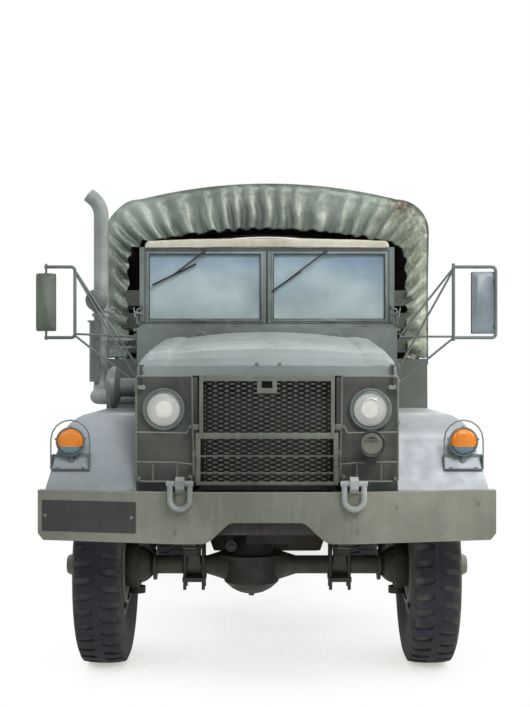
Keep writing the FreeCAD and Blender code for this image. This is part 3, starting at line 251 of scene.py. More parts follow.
def lamp(name, where, aim, size, power, code):
    """A round area lamp at a place, turned to face another."""
    data = bpy.data.lights.new(name, "AREA")
    data.shape = "DISK"
    data.size = size
    data.energy = power
    data.color = linear(code)[:3]
    made = bpy.data.objects.new(name, data)
    made.location = where
    made.rotation_euler = (Vector(aim) - Vector(where)).to_track_quat("-Z", "Y").to_euler()
    bpy.context.collection.objects.link(made)


lamp("sky_front", at(2.5, -6.5, 7.5), at(0, 1.0, 1.2), 4.5, 640, "#f6f8ff")
lamp("sky_left", at(7.0, 0.0, 6.0), at(0, 1.8, 1.6), 4.0, 620, "#fffaf0")
lamp("sky_right", at(-7.5, 1.0, 6.5), at(0, 2.0, 1.2), 5.0, 190, "#f2f6ff")
lamp("sky_back", at(0.0, 10.5, 6.5), at(0, 3.5, 1.2), 6.0, 330, "#ffffff")
print("lamps:", len(bpy.data.lights))

# %% [markdown]
# The floor is a plain pale sheet.  To the camera it glows white, as the sky behind it does, so
# that no horizon shows; the glow is dimmed where the truck stands close over it, and that keeps
# the contact shade under the wheels.  Every other ray meets the pale diffuse floor.

# %% Floor
floor_mesh = bpy.data.meshes.new("floor")
FLOOR_HALF = 40.0
floor_mesh.from_pydata([(x * FLOOR_HALF, y * FLOOR_HALF, 0) for x, y in
                        ((-1, -1), (1, -1), (1, 1), (-1, 1))], [], [(0, 1, 2, 3)])
floor = bpy.data.objects.new("floor", floor_mesh)
bpy.context.collection.objects.link(floor)
floor_made, floor_tree, floor_shader = material("studio_floor", 0.9, Base_Color="#e9e9e6")
open_sky = node(floor_tree, "ShaderNodeAmbientOcclusion", {"Distance": 1.3}, samples=8, out="AO")
shade = node(floor_tree, "ShaderNodeValToRGB", {"Fac": open_sky},
             [(0.0, "#a5a39e"), (0.22, "#e9e8e5"), (0.55, "#ffffff")])
glow = node(floor_tree, "ShaderNodeEmission", {"Color": shade, "Strength": 1.0})
shown = node(floor_tree, "ShaderNodeMixShader", {0: shows(floor_tree), 1: floor_shader.outputs[0],
                                                 2: glow})
floor_tree.links.new(shown, floor_tree.nodes["Material Output"].inputs["Surface"])
floor_mesh.materials.append(floor_made)
print("floor: %.0f m square" % (2 * FLOOR_HALF))

# %% [markdown]
# Most added pieces are gathered in a bmesh out of a few plain forms: bevelled blocks, turned rings,
# rods, and pipes swept along runs with round corners.  Several forms in one bmesh make one piece.

# %% Blocks and skins
def block(bm, low, high, bevel=1.5 * MM, turn=None):
    """A bevelled block between two corners; turn is a matrix about the block's middle."""
    low, high = Vector(low), Vector(high)
    low, high = (Vector(map(min, low, high)), Vector(map(max, low, high)))
    made = bmesh.ops.create_cube(bm, size=1.0)["verts"]
    size = high - low
    middle = (low + high) / 2
    for v in made:
        v.co = Vector((v.co.x * size.x, v.co.y * size.y, v.co.z * size.z))
    if bevel:
        width = min(bevel, min(size) * 0.4)
        edges = list({e for v in made for e in v.link_edges})
        made = bmesh.ops.bevel(bm, geom=edges, offset=width, segments=2, affect="EDGES",
                               profile=0.6, clamp_overlap=True)["verts"]
        made = set(made) | {v for f in {f for v in made for f in v.link_faces} for v in f.verts}
    for v in made:
        v.co = (turn @ v.co if turn else v.co) + middle


def sweep(bm, rings):
    """Join rings of points, each a list of the same length, into a skin with its ends closed."""
    made = [[bm.verts.new(p) for p in ring] for ring in rings]
    count = len(made[0])
    for a, b in zip(made, made[1:]):
        for i in range(count):
            j = (i + 1) % count
            bm.faces.new((a[i], a[j], b[j], b[i]))
    bm.faces.new(list(reversed(made[0])))
    bm.faces.new(made[-1])


def grid(bm, rows):
    """A skin over rows of points."""
    made = [[bm.verts.new(p) for p in row] for row in rows]
    for a, b in zip(made, made[1:]):
        for i in range(len(a) - 1):
            bm.faces.new((a[i], a[i + 1], b[i + 1], b[i]))


print("first forms: block, sweep and grid")

# %% [markdown]
# Round bars are rings of points carried along a line.  Each ring is turned on from the one before
# it by the least angle, so the bar never twists, and a corner is rounded before the rings are set.

# %% Rods, pipes and turned forms
def across(direction):
    """Two unit vectors at right angles to a direction and to each other."""
    side = direction.orthogonal().normalized()
    return side, direction.cross(side).normalized()


def ring(centre, u, v, r, sides):
    """Points evenly round a circle whose plane is given by two unit vectors."""
    return [centre + (u * math.cos(t) + v * math.sin(t)) * r
            for t in (2 * math.pi * k / sides for k in range(sides))]


def rod(bm, start, end, r, sides=12, r_end=None):
    """A straight bar; r_end tapers it."""
    start, end = Vector(start), Vector(end)
    u, v = across((end - start).normalized())
    sweep(bm, [ring(p, u, v, radius, sides)
               for p, radius in ((start, r), (end, r if r_end is None else r_end))])


def rounded(points, bend, steps=6):
    """The line through the points with each corner rounded to the radius bend."""
    points = [Vector(p) for p in points]
    line = [points[0]]
    for before, here, after in zip(points, points[1:], points[2:]):
        into, out = (here - before).normalized(), (after - here).normalized()
        turn = into.angle(out)
        reach = min(bend * math.tan(turn / 2), (here - before).length * 0.49,
                    (after - here).length * 0.49)
        first, last = here - into * reach, here + out * reach
        line += [first.lerp(here, t).lerp(here.lerp(last, t), t)
                 for t in (i / steps for i in range(steps + 1))]
    return line + [points[-1]]


def carried_rings(line, radius_at, sides):
    """Rings along a line; radius_at gives the radius at a point."""
    direction = (line[1] - line[0]).normalized()
    u, v = across(direction)
    rings = []
    for i, p in enumerate(line):
        ahead = (line[min(i + 1, len(line) - 1)] - line[max(i - 1, 0)]).normalized()
        turn = direction.rotation_difference(ahead)
        u, v, direction = turn @ u, turn @ v, ahead
        rings.append(ring(p, u, v, radius_at(p), sides))
    return rings


def pipe(bm, points, r, bend, sides=12, steps=6):
    """A round bar along the points; bend is the corners' radius."""
    sweep(bm, carried_rings(rounded(points, bend, steps), lambda p: r, sides))


def turned(bm, profile, centre, axis, segments=48):
    """Turn (distance along the axis, radius) pairs about an axis through centre."""
    axis = Vector(axis).normalized()
    u, v = across(axis)
    rings = []
    for a, r in profile:
        middle = Vector(centre) + axis * a
        points = [middle] if r < 1e-6 else ring(middle, u, v, r, segments)
        rings.append([bm.verts.new(p) for p in points])
    for a, b in zip(rings, rings[1:]):
        for k in range(segments):
            n = (k + 1) % segments
            if len(a) == 1 and len(b) > 1:
                bm.faces.new((a[0], b[n], b[k]))
            elif len(b) == 1 and len(a) > 1:
                bm.faces.new((a[k], a[n], b[0]))
            elif len(a) > 1:
                bm.faces.new((a[k], a[n], b[n], b[k]))


def mm(*pairs):
    """Pairs of millimetres as metres: a profile's (distance along its axis, radius)."""
    return [(a * MM, b * MM) for a, b in pairs]


print("round forms: rod, pipe and turned")

# %% [markdown]
# A bmesh becomes a piece by taking a name and a material.  It then rides on a body of the frame,
# and may stand for CAD solids, which are then not shown.

# %% Pieces
def piece(name, bm, finish, smooth=35, recalc=True):
    """Close a bmesh into an object with a material; edges sharper than smooth degrees stay sharp."""
    if recalc:
        bmesh.ops.recalc_face_normals(bm, faces=bm.faces)
    mesh = bpy.data.meshes.new(name)
    bm.to_mesh(mesh)
    bm.free()
    mesh.materials.append(finish)
    mesh.shade_smooth()
    mesh.set_sharp_from_angle(angle=math.radians(smooth))
    made = bpy.data.objects.new(name, mesh)
    bpy.context.collection.objects.link(made)
    return made


def finished(made):
    """Apply the live modifiers, so that the mesh is plain before it is given to the frame."""
    graph = bpy.context.evaluated_depsgraph_get()
    mesh = bpy.data.meshes.new_from_object(made.evaluated_get(graph))
    made.modifiers.clear()
    made.data = mesh
    return made


def thickened(made, thickness):
    """Give a skin the thickness of its cloth, half to each side."""
    thick = made.modifiers.new("thickness", "SOLIDIFY")
    thick.thickness = thickness
    thick.offset = 0.0
    return finished(made)


def dress(made, body, slot, *replaced):
    """Let a piece ride on a body and stand for CAD nodes; slot is not used."""
    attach(made, body)
    if replaced:
        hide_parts(*replaced)
    return made


def fit(name, bm, finish, slot, *replaced, body="chassis", smooth=35, recalc=True):
    """Make a piece out of a bmesh and dress it; most of them ride on the chassis."""
    return dress(piece(name, bm, finish, smooth, recalc), body, slot, *replaced)


def paint(finish, *nodes):
    """Give CAD nodes a finish."""
    for name in nodes:
        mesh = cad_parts[name].data
        mesh.materials.clear()
        mesh.materials.append(finish)


print("CAD solids to finish or stand for:", len(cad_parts))

# %% [markdown]
# What repeats is laid by Geometry Nodes.  A node group has named inputs; the object that carries it
# fills them, and its mesh is made plain at once, so that it can be cut and joined like any other.
# The simplest group sets one small shape on a straight line of points.  It serves for fins,
# eyelets, floor boards, screws and the holes of a perforated sheet.

# %% Node groups
def node_group(name, kinds):
    """A Geometry Nodes group and its inputs; kinds gives each input's kind by its label."""
    tree = bpy.data.node_groups.new(name, "GeometryNodeTree")
    for label, kind in kinds.items():
        tree.interface.new_socket(label, in_out="INPUT", socket_type=f"NodeSocket{kind}")
    tree.interface.new_socket("Mesh", in_out="OUTPUT", socket_type="NodeSocketGeometry")
    return tree, tree.nodes.new("NodeGroupInput").outputs


def ended(tree, geometry, finish):
    """Set the geometry's material, hand it out of the group and return the group."""
    painted = node(tree, "GeometryNodeSetMaterial", {"Geometry": geometry, "Material": finish})
    tree.links.new(painted, tree.nodes.new("NodeGroupOutput").inputs[0])
    return tree


def laid_out(name, tree, values):
    """An object whose plain mesh a group makes out of the values of its inputs."""
    made = bpy.data.objects.new(name, bpy.data.meshes.new(name))
    bpy.context.collection.objects.link(made)
    layout = made.modifiers.new("layout", "NODES")
    layout.node_group = tree
    for socket in tree.interface.items_tree:
        if socket.in_out == "INPUT":
            layout[socket.identifier] = values[socket.name]
    return finished(made)


def row_group():
    """A node group that repeats an object along a line of points."""
    tree, given = node_group("row_of_one_shape", {"Object": "Object", "Count": "Int", "Start": "Vector",
                                                  "Step": "Vector", "Finish": "Material"})
    shape = node(tree, "GeometryNodeObjectInfo", {"Object": given["Object"]}, out="Geometry")
    line = node(tree, "GeometryNodeMeshLine", {"Count": given["Count"], "Start Location": given["Start"],
                                               "Offset": given["Step"]})
    laid = node(tree, "GeometryNodeInstanceOnPoints", {"Points": line, "Instance": shape})
    real = node(tree, "GeometryNodeRealizeInstances", {"Geometry": laid})
    return ended(tree, real, given["Finish"])


ROW = row_group()


def add_row(bm, shape, count, start, step, finish):
    """Add count copies of the bmesh shape to bm, the first at start and each a step further."""
    one = piece("one_of_row", shape, finish)
    row = laid_out("row", ROW, {"Object": one, "Count": count, "Start": tuple(start),
                                "Step": tuple(step), "Finish": finish})
    bm.from_mesh(row.data)
    for spent in (one, row):
        bpy.data.meshes.remove(spent.data)


print("row group's inputs:", [socket.name for socket in ROW.interface.items_tree])

# %% [markdown]
# A cross-country tyre has groups of lugs that come from a solid band in the middle and run out to
# the shoulders, with open gaps between them.  One pitch of that pattern is a grid of five by six
# cells; a cell in the gap sits on the tread's floor, and a wall is added wherever floor meets lug.

# %% Tyre meshes
PITCHES = 38
TREAD_DEPTH = 14 * MM
TREAD_ROWS = [(-6, 516.0), (0, 519.0), (19, 518.9), (44, 518.2), (76, 515.5), (107, 510.0),
              (119.5, 482.0)]                                  # (mm from the middle, radius)
GAP_COLUMNS = {"root": (0, 0.40, 0.45, 0.53, 0.58), "gap": (0, 0.27, 0.40, 0.58, 0.71)}
CASING = [(-92, 252), (-97, 262), (-106, 290), (-118, 330), (-126, 382), (-125, 430), (-119, 470),
          (-112, 492), (-96, 502), (-50, 504.5), (0, 505), (50, 504.5), (96, 502), (112, 492),
          (119, 470), (125, 430), (126, 382), (118, 330), (106, 290), (97, 262), (92, 252)]


def tread_half(bm, side, centre, shift):
    """One half of the tread; centre is the tyre's middle, shift turns the pattern by pitches."""
    pitch = 2 * math.pi / PITCHES
    columns = [GAP_COLUMNS["root" if row < 3 else "gap"] for row in range(len(TREAD_ROWS))]
    columns[-1] = columns[-2]

    def in_gap(row, column):
        """Whether a cell lies between two lugs."""
        return row >= 2 and 1 <= column <= 3

    found = {}

    def corner(p, row, column, low):
        """A vertex of the pattern, on the tread's floor if low."""
        if column == 5:
            p, column = p + 1, 0
        low = low and row < len(TREAD_ROWS) - 1
        key = (p % PITCHES, row, column, low)
        if key not in found:
            offset, radius = TREAD_ROWS[row]
            radius = radius * MM - (TREAD_DEPTH if low else 0)
            lean = 0.10 * max(0, row - 2)
            t = (p + columns[row][column] + shift + lean * 0.25) * pitch
            found[key] = bm.verts.new(centre + Vector((side * offset * MM, radius * math.cos(t),
                                                       radius * math.sin(t))))
        return found[key]

    for p in range(PITCHES):
        for row in range(len(TREAD_ROWS) - 1):
            for column in range(5):
                low = in_gap(row, column)
                bm.faces.new([corner(p, row, column, low), corner(p, row, column + 1, low),
                              corner(p, row + 1, column + 1, low), corner(p, row + 1, column, low)])
                if low and not in_gap(row, column - 1) and row < len(TREAD_ROWS) - 2:
                    wall(bm, corner, (p, row, column), (p, row + 1, column))
                if low and not in_gap(row, column + 1) and row < len(TREAD_ROWS) - 2:
                    wall(bm, corner, (p, row, column + 1), (p, row + 1, column + 1))
                if low and not in_gap(row - 1, column):
                    wall(bm, corner, (p, row, column), (p, row, column + 1))
                if low and row == len(TREAD_ROWS) - 2:
                    for edge in (c for c in (column, column + 1)
                                 if not in_gap(row, c if c > column else c - 1)):
                        bm.faces.new([corner(p, row, edge, False), corner(p, row, edge, True),
                                      corner(p, row + 1, edge, False)])


def wall(bm, corner, a, b):
    """The step between a lug's edge and the floor of the gap beside it."""
    bm.faces.new([corner(*a, False), corner(*b, False), corner(*b, True), corner(*a, True)])


def tyre(bm, x, y):
    """One tyre with its tread, standing on the axles' height."""
    centre = Vector((x, y, AXLE_Z))
    turned(bm, mm(*CASING), centre, (1, 0, 0), 76)
    turned(bm, [(-92 * MM, 252 * MM), (92 * MM, 252 * MM)], centre, (1, 0, 0), 76)
    for side, shift in ((1, 0.0), (-1, 0.5)):
        tread_half(bm, side, centre, shift)
print("lugs round each half of a tyre:", PITCHES)

# %% [markdown]
# A worn tyre is a dull dark grey; pale dust stays in the floor of the tread and on the sidewalls.

# %% Rubber
def rubber(name, axles, axis=(0, 1, 1)):
    """Black rubber, dusty inside the tread's depth; axles are points that the tyres turn about."""
    made, tree, shader = material(name, 0.82, Specular_IOR_Level=0.35)
    place = node(tree, "ShaderNodeTexCoord", out="Object")
    near = 9.0                      # metres, farther than any axle
    for centre in axles:
        apart = node(tree, "ShaderNodeVectorMath", {0: place, 1: tuple(centre)}, operation="SUBTRACT")
        flat = node(tree, "ShaderNodeVectorMath", {0: apart, 1: axis}, operation="MULTIPLY")
        reach = node(tree, "ShaderNodeVectorMath", {0: flat}, out="Value", operation="LENGTH")
        near = node(tree, "ShaderNodeMath", {0: near, 1: reach}, operation="MINIMUM")
    in_tread = node(tree, "ShaderNodeValToRGB", {"Fac": near},
                    [(0.500, 0.85), (0.508, 0.6), (0.5145, 0.03), (0.5175, 0.0)])
    on_side = node(tree, "ShaderNodeValToRGB", {"Fac": near},
                   [(0.25, 0.45), (0.34, 0.18), (0.44, 0.10), (0.50, 0.16), (0.512, 0.0)])
    both = node(tree, "ShaderNodeMix", {"Factor": 0.5, "A": in_tread, "B": on_side}, data_type="RGBA")
    patches = node(tree, "ShaderNodeTexNoise", {"Vector": place, "Scale": 1 / (55 * MM),
                                                "Detail": 5.0, "Roughness": 0.62})
    worn = node(tree, "ShaderNodeValToRGB", {"Fac": patches}, [(0.3, 0.1), (0.75, 1.0)])
    dust = node(tree, "ShaderNodeMix", {"Factor": 1.0, "A": both, "B": worn}, data_type="RGBA",
                blend_type="MULTIPLY")
    base = node(tree, "ShaderNodeValToRGB", {"Fac": patches}, [(0.3, "#1d1f23"), (0.7, "#2a2c32")])
    colour = node(tree, "ShaderNodeMix", {"Factor": dust, "A": base, "B": "#77736a"}, data_type="RGBA")
    grain = node(tree, "ShaderNodeTexNoise", {"Vector": place, "Scale": 1 / (6 * MM), "Detail": 3.0})
    skin = node(tree, "ShaderNodeBump", {"Height": grain, "Distance": 0.35 * MM, "Strength": 0.5})
    feed(tree, shader, Base_Color=colour, Normal=skin)
    return made


REAR_Y = [sum(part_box(f"rear_tyres_{place}_left")[k].y for k in (0, 1)) / 2
          for place in ("front", "rear")]
tyre_rubber = rubber("tyre_rubber", [(0, y, AXLE_Z) for y in [AXLE_Y] + REAR_Y])
print("rear axle lines behind the front:", [round(y - AXLE_Y, 3) for y in REAR_Y])

# %% Fit the tyres
SIDES = (("left", 1), ("right", -1))
# how far the wheels' middles stand from the truck's, in mm
FRONT_X, INNER_X, OUTER_X, REAR_HUB_X = 862, 743, 1035, 889
for side, sign in SIDES:
    bm = bmesh.new()
    tyre(bm, sign * FRONT_X * MM, AXLE_Y)
    fit(f"front_tyre_{side}_tread", bm, tyre_rubber, "tyre", f"front_tyre_{side}",
        body=f"wheel_front_{side}")
    for place, y in zip(("front", "rear"), REAR_Y):
        bm = bmesh.new()
        for x in (INNER_X, OUTER_X):
            tyre(bm, sign * x * MM, y)
        fit(f"rear_tyres_{place}_{side}_tread", bm, tyre_rubber, "tyre", f"rear_tyres_{place}_{side}",
            body=f"wheel_rear_{place}_{side}")
print("tyres fitted")

# %% [markdown]
# The wheels' discs are pressed steel: a round barrel with a rolled lip at each edge, a dish that
# brings the bolt face out over the brake drum, six nuts, and the hub's stepped cap in the middle.

# %% Wheels
DISC = [(-100, 262), (-98, 268), (-94, 262), (-92, 248), (-60, 243), (60, 243), (92, 246), (94, 262),
        (99, 268), (101, 261), (97, 247), (92, 236), (97, 222), (112, 182), (126, 140), (137, 126),
        (143, 118), (146, 108), (146, 70), (136, 70), (136, 106), (128, 122), (118, 138), (84, 224),
        (74, 240), (-92, 240)]
FRONT_HUB = [(-112, 190), (-112, 203), (-104, 207), (-14, 207), (-6, 202), (-6, 96), (100, 96),
             (104, 120), (119, 122), (135, 92), (150, 92), (155, 84), (157, 66), (160, 60), (200, 55),
             (206, 53), (209, 46), (216, 44), (219, 38), (219, 0)]
REAR_HUB = [(-236, 190), (-236, 203), (-228, 207), (-138, 207), (-130, 202), (-130, 96), (-46, 96),
            (-40, 120), (-27, 122), (-11, 92), (11, 92), (14, 76), (22, 71), (140, 65), (144, 78),
            (152, 78), (156, 66), (160, 58), (162, 46), (162, 0)]
NUT_CIRCLE = 108


def disc(bm, x, y, out):
    """One wheel without its tyre; out is the side its bolt face looks to."""
    profile = [(out * a * MM, r * MM) for a, r in DISC + DISC[:1]]
    turned(bm, profile, (x, y, AXLE_Z), (1, 0, 0), 64)


def hub(bm, profile, x, y, side, nuts_at):
    """A hub turned from its profile, with six nuts; nuts_at are where they begin, step and end."""
    turned(bm, [(side * a * MM, r * MM) for a, r in profile], (x, y, AXLE_Z), (1, 0, 0), 48)
    for i in range(6):
        t = math.radians(60 * i + 15)
        c, s = math.cos(t) * NUT_CIRCLE * MM, math.sin(t) * NUT_CIRCLE * MM
        reach = [x + side * a * MM for a in nuts_at]
        rod(bm, (reach[0], y + c, AXLE_Z + s), (reach[1], y + c, AXLE_Z + s), 20 * MM, 6)
        rod(bm, (reach[1], y + c, AXLE_Z + s), (reach[2], y + c, AXLE_Z + s), 10 * MM, 10)


def cap_screws(bm, sign, y, circle, foot, head, r):
    """Eight screws round a hub's cap, from foot to head; sizes in mm."""
    for i in range(8):
        t = math.radians(45 * i)
        place = (y + circle * MM * math.cos(t), AXLE_Z + circle * MM * math.sin(t))
        rod(bm, (sign * foot * MM, *place), (sign * head * MM, *place), r * MM, 6)


wheel_paint = enamel("wheel_paint", "#6a6c5f", "#86877a", "#4a4b42", 0.5, 0.6)
for side, sign in SIDES:
    bm = bmesh.new()
    disc(bm, sign * FRONT_X * MM, AXLE_Y, sign)
    hub(bm, FRONT_HUB, sign * FRONT_X * MM, AXLE_Y, sign, (140, 164, 172))
    cap_screws(bm, sign, AXLE_Y, 42, 1068, 1079, 7)
    fit(f"front_wheel_{side}_disc", bm, wheel_paint, "olive_paint", f"front_rim_{side}",
        body=f"wheel_front_{side}")
    for place_name, y in zip(("front", "rear"), REAR_Y):
        bm = bmesh.new()
        disc(bm, sign * INNER_X * MM, y, sign)
        disc(bm, sign * OUTER_X * MM, y, -sign)
        hub(bm, REAR_HUB, sign * REAR_HUB_X * MM, y, sign, (10, 34, 42))
        cap_screws(bm, sign, y, 56, REAR_HUB_X + 150, REAR_HUB_X + 160, 8)
        fit(f"rear_wheels_{place_name}_{side}_disc", bm, wheel_paint, "olive_paint",
            f"rear_rims_{place_name}_{side}", body=f"wheel_rear_{place_name}_{side}")
print("wheels fitted")

# %% [markdown]
# The grille is covered by two sheets of expanded metal.  Such a sheet is one shape repeated: a
# flat diamond with an opening, in rows that are each shifted by half a diamond.  Geometry Nodes
# lays one diamond on the points of two interlaced grids, then joins them into a plain mesh.

# %% Expanded metal
MESH_ACROSS = 55.7 * MM
MESH_UP = 22.6 * MM
STRAND = 4.5 * MM
GUARD_Y = -0.716


def diamond_piece():
    """One diamond with a rounded opening, 3 mm thick, its outline meeting its neighbours'."""
    bm = bmesh.new()
    a, b = MESH_ACROSS / 2, MESH_UP / 2
    edge = [(a, 0), (a / 2, b / 2), (0, b), (-a / 2, b / 2), (-a, 0), (-a / 2, -b / 2), (0, -b),
            (a / 2, -b / 2)]
    hole_a, hole_b = a - 1.5 * STRAND, b - STRAND / 2
    hole = [(hole_a * math.cos(t), hole_b * math.sin(t) * (0.80 + 0.20 * abs(math.sin(t))))
            for t in (math.pi * k / 4 for k in range(8))]
    layers = []
    for depth, points in ((0, edge), (0, hole), (3 * MM, hole), (3 * MM, edge)):
        layers.append([bm.verts.new((x, depth, z)) for x, z in points])
    for near, far in zip(layers, layers[1:]):
        for k in range(8):
            n = (k + 1) % 8
            bm.faces.new((near[k], near[n], far[n], far[k]))
    mesh = bpy.data.meshes.new("diamond")
    bm.to_mesh(mesh)
    bm.free()
    return bpy.data.objects.new("diamond", mesh)


def interlaced_rows():
    """A node group that sets an object on two grids of points, one shifted against the other."""
    tree, given = node_group("interlaced_rows", {"Diamond": "Object", "Columns": "Int", "Rows": "Int",
                                                 "Pitch across": "Float", "Pitch up": "Float",
                                                 "Finish": "Material"})
    shape = node(tree, "GeometryNodeObjectInfo", {"Object": given["Diamond"]}, out="Geometry")
    joined = tree.nodes.new("GeometryNodeJoinGeometry")
    for less in (0, 1):
        columns = node(tree, "ShaderNodeMath", {0: given["Columns"], 1: less}, operation="SUBTRACT")
        rows = node(tree, "ShaderNodeMath", {0: given["Rows"], 1: less}, operation="SUBTRACT")
        spans = []
        for count, pitch in ((columns, "Pitch across"), (rows, "Pitch up")):
            gaps = node(tree, "ShaderNodeMath", {0: count, 1: 1}, operation="SUBTRACT")
            spans.append(node(tree, "ShaderNodeMath", {0: gaps, 1: given[pitch]}, operation="MULTIPLY"))
        points = node(tree, "GeometryNodeMeshGrid", {"Size X": spans[0], "Size Y": spans[1],
                                                     "Vertices X": columns, "Vertices Y": rows})
        upright = node(tree, "GeometryNodeTransform",
                       {"Geometry": points, "Rotation": (math.pi / 2, 0, 0)})
        laid = node(tree, "GeometryNodeInstanceOnPoints", {"Points": upright, "Instance": shape})
        tree.links.new(laid, joined.inputs[0])
    real = node(tree, "GeometryNodeRealizeInstances", {"Geometry": joined.outputs[0]})
    welded = node(tree, "GeometryNodeMergeByDistance", {"Geometry": real, "Distance": 0.1 * MM})
    return ended(tree, welded, given["Finish"])


def expanded_sheet(name, middle_z, rows, keep=None):
    """A sheet of expanded metal in front of the guard's bars."""
    made = laid_out(name, SHEET, {"Diamond": diamond, "Columns": 11, "Rows": rows,
                                  "Pitch across": MESH_ACROSS, "Pitch up": MESH_UP,
                                  "Finish": guard_paint})
    bm = bmesh.new()
    bm.from_mesh(made.data)
    if keep:
        outside = [f for f in bm.faces if not keep(f.calc_center_median())]
        bmesh.ops.delete(bm, geom=outside, context="FACES")
    bmesh.ops.translate(bm, verts=bm.verts, vec=at(0, GUARD_Y - 0.004, middle_z))
    bmesh.ops.recalc_face_normals(bm, faces=bm.faces)
    bm.to_mesh(made.data)
    bm.free()
    return dress(made, "chassis", "olive_paint", "guard_mesh")


diamond = diamond_piece()
SHEET = interlaced_rows()
UPPER_Z, LOWER_Z = 1.396, 1.139
upper = expanded_sheet("guard_mesh_upper", UPPER_Z, 12,
                       lambda p: abs(p.x) > 0.037 or p.z < 1.478 - UPPER_Z)
lower = expanded_sheet("guard_mesh_lower", LOWER_Z, 10)
bpy.data.objects.remove(diamond)
print("expanded metal:", len(upper.data.polygons) + len(lower.data.polygons), "faces")

# %% [markdown]
# Flat iron frames hold the two sheets, with thin uprights and ties behind them, and lighter bars
# bend round each lamp.  All of it is bolted to the nose by small ears.

# %% Guard frames and bars
def frame_of(bm, half, low, high, side, rail, front):
    """A flat frame: stiles of width side, rails of width rail, between low and high."""
    for s in (-1, 1):
        block(bm, at(s * half, front, low), at(s * (half - side), front + 0.005, high), 1.2 * MM)
    for z0, z1 in ((low, low + rail), (high - rail, high)):
        block(bm, at(-half + side, front, z0), at(half - side, front + 0.005, z1), 1.2 * MM)


bm, ties = bmesh.new(), bmesh.new()
front = GUARD_Y - 0.0095
BAR_Y = GUARD_Y + 0.006
frame_of(bm, 0.345, 1.018, 1.272, 0.023, 0.017, front)
frame_of(bm, 0.328, 1.243, 1.551, 0.019, 0.029, front - 0.001)
for s in (-1, 1):
    block(bm, at(s * 0.026, front - 0.001, 1.486), at(s * 0.048, front + 0.004, 1.524), 1 * MM)
block(bm, at(-0.048, front - 0.001, 1.463), at(0.048, front + 0.004, 1.488), 1 * MM)
for column in range(-4, 6):
    x = (column - 0.5) * MESH_ACROSS
    high = 1.463 if column in (0, 1) else 1.530
    block(ties, at(x - 0.0045, GUARD_Y + 0.004, 1.26), at(x + 0.0045, GUARD_Y + 0.010, high), 1 * MM)
for z in (1.076, 1.158):
    block(bm, at(-0.33, GUARD_Y, z - 0.004), at(0.33, GUARD_Y + 0.006, z + 0.004), 1 * MM)
for s in (-1, 1):
    lamp_frame = [at(s * 0.364, BAR_Y, 1.545), at(s * 0.635, BAR_Y, 1.545),
                  at(s * 0.635, BAR_Y, 1.037), at(s * 0.600, BAR_Y, 1.035),
                  at(s * 0.368, BAR_Y, 1.035), at(s * 0.352, BAR_Y, 1.090)]
    pipe(bm, lamp_frame, 5 * MM, 14 * MM, 8)
    pipe(bm, [at(s * 0.364, BAR_Y, 1.545), at(s * 0.361, BAR_Y, 1.290),
              at(s * 0.352, BAR_Y, 1.120), at(s * 0.345, BAR_Y, 1.030)],
         5 * MM, 40 * MM, 8)
    pipe(bm, [at(s * 0.630, GUARD_Y + 0.002, 1.274), at(s * 0.388, GUARD_Y + 0.002, 1.270),
              at(s * 0.377, GUARD_Y + 0.010, 1.300)], 4.6 * MM, 12 * MM, 8)
    pipe(bm, [at(s * 0.632, GUARD_Y + 0.002, 1.130), at(s * 0.44, GUARD_Y + 0.002, 1.127),
              at(s * 0.350, GUARD_Y + 0.002, 1.117)], 4.6 * MM, 60 * MM, 8)
    for x in (0.553, 0.436):
        rod(bm, at(s * x, GUARD_Y + 0.008, 1.035), at(s * x, GUARD_Y + 0.008, 1.126), 4.2 * MM, 8)
    for x, z in ((0.372, 1.302), (0.635, 1.320), (0.635, 1.480), (0.372, 1.060), (0.620, 1.050)):
        rod(bm, at(s * x, GUARD_Y + 0.004, z), at(s * x, -0.655, z), 6 * MM, 8)
        rod(bm, at(s * x, GUARD_Y - 0.002, z), at(s * x, GUARD_Y - 0.010, z), 9 * MM, 6)
    for z in (1.30, 1.168):
        block(bm, at(s * 0.330, GUARD_Y, z - 0.014), at(s * 0.362, GUARD_Y + 0.004, z + 0.014), 1 * MM)
    block(bm, at(s * 0.342, front - 0.004, 1.110), at(s * 0.322, front + 0.004, 1.158), 1 * MM)
    rod(bm, at(s * 0.333, front - 0.004, 1.148), at(s * 0.333, front - 0.016, 1.148), 7 * MM, 6)
    pipe(bm, [at(s * 0.342, front + 0.002, 1.160), at(s * 0.356, front - 0.006, 1.180),
              at(s * 0.357, front - 0.006, 1.080), at(s * 0.346, front + 0.002, 1.066)],
         2.6 * MM, 14 * MM, 6)
guard_bars = fit("brush_guard_bars", bm, guard_paint, "olive_paint", "brush_guard")
fit("brush_guard_ties", ties, soot_black_and_painted_shade, "olive_paint", "brush_guard")
print("guard:", len(guard_bars.data.polygons), "faces")

# %% [markdown]
# A sealed-beam headlamp is a bright bowl behind a bulged, fluted lens.  The bowl is polished
# metal, the shield in its middle hides the filament, and the rim is painted like the truck.

# %% Lamp finishes
bright_metal = material("bright_reflector", 0.22, 1.0, Base_Color="#eceaef")[0]


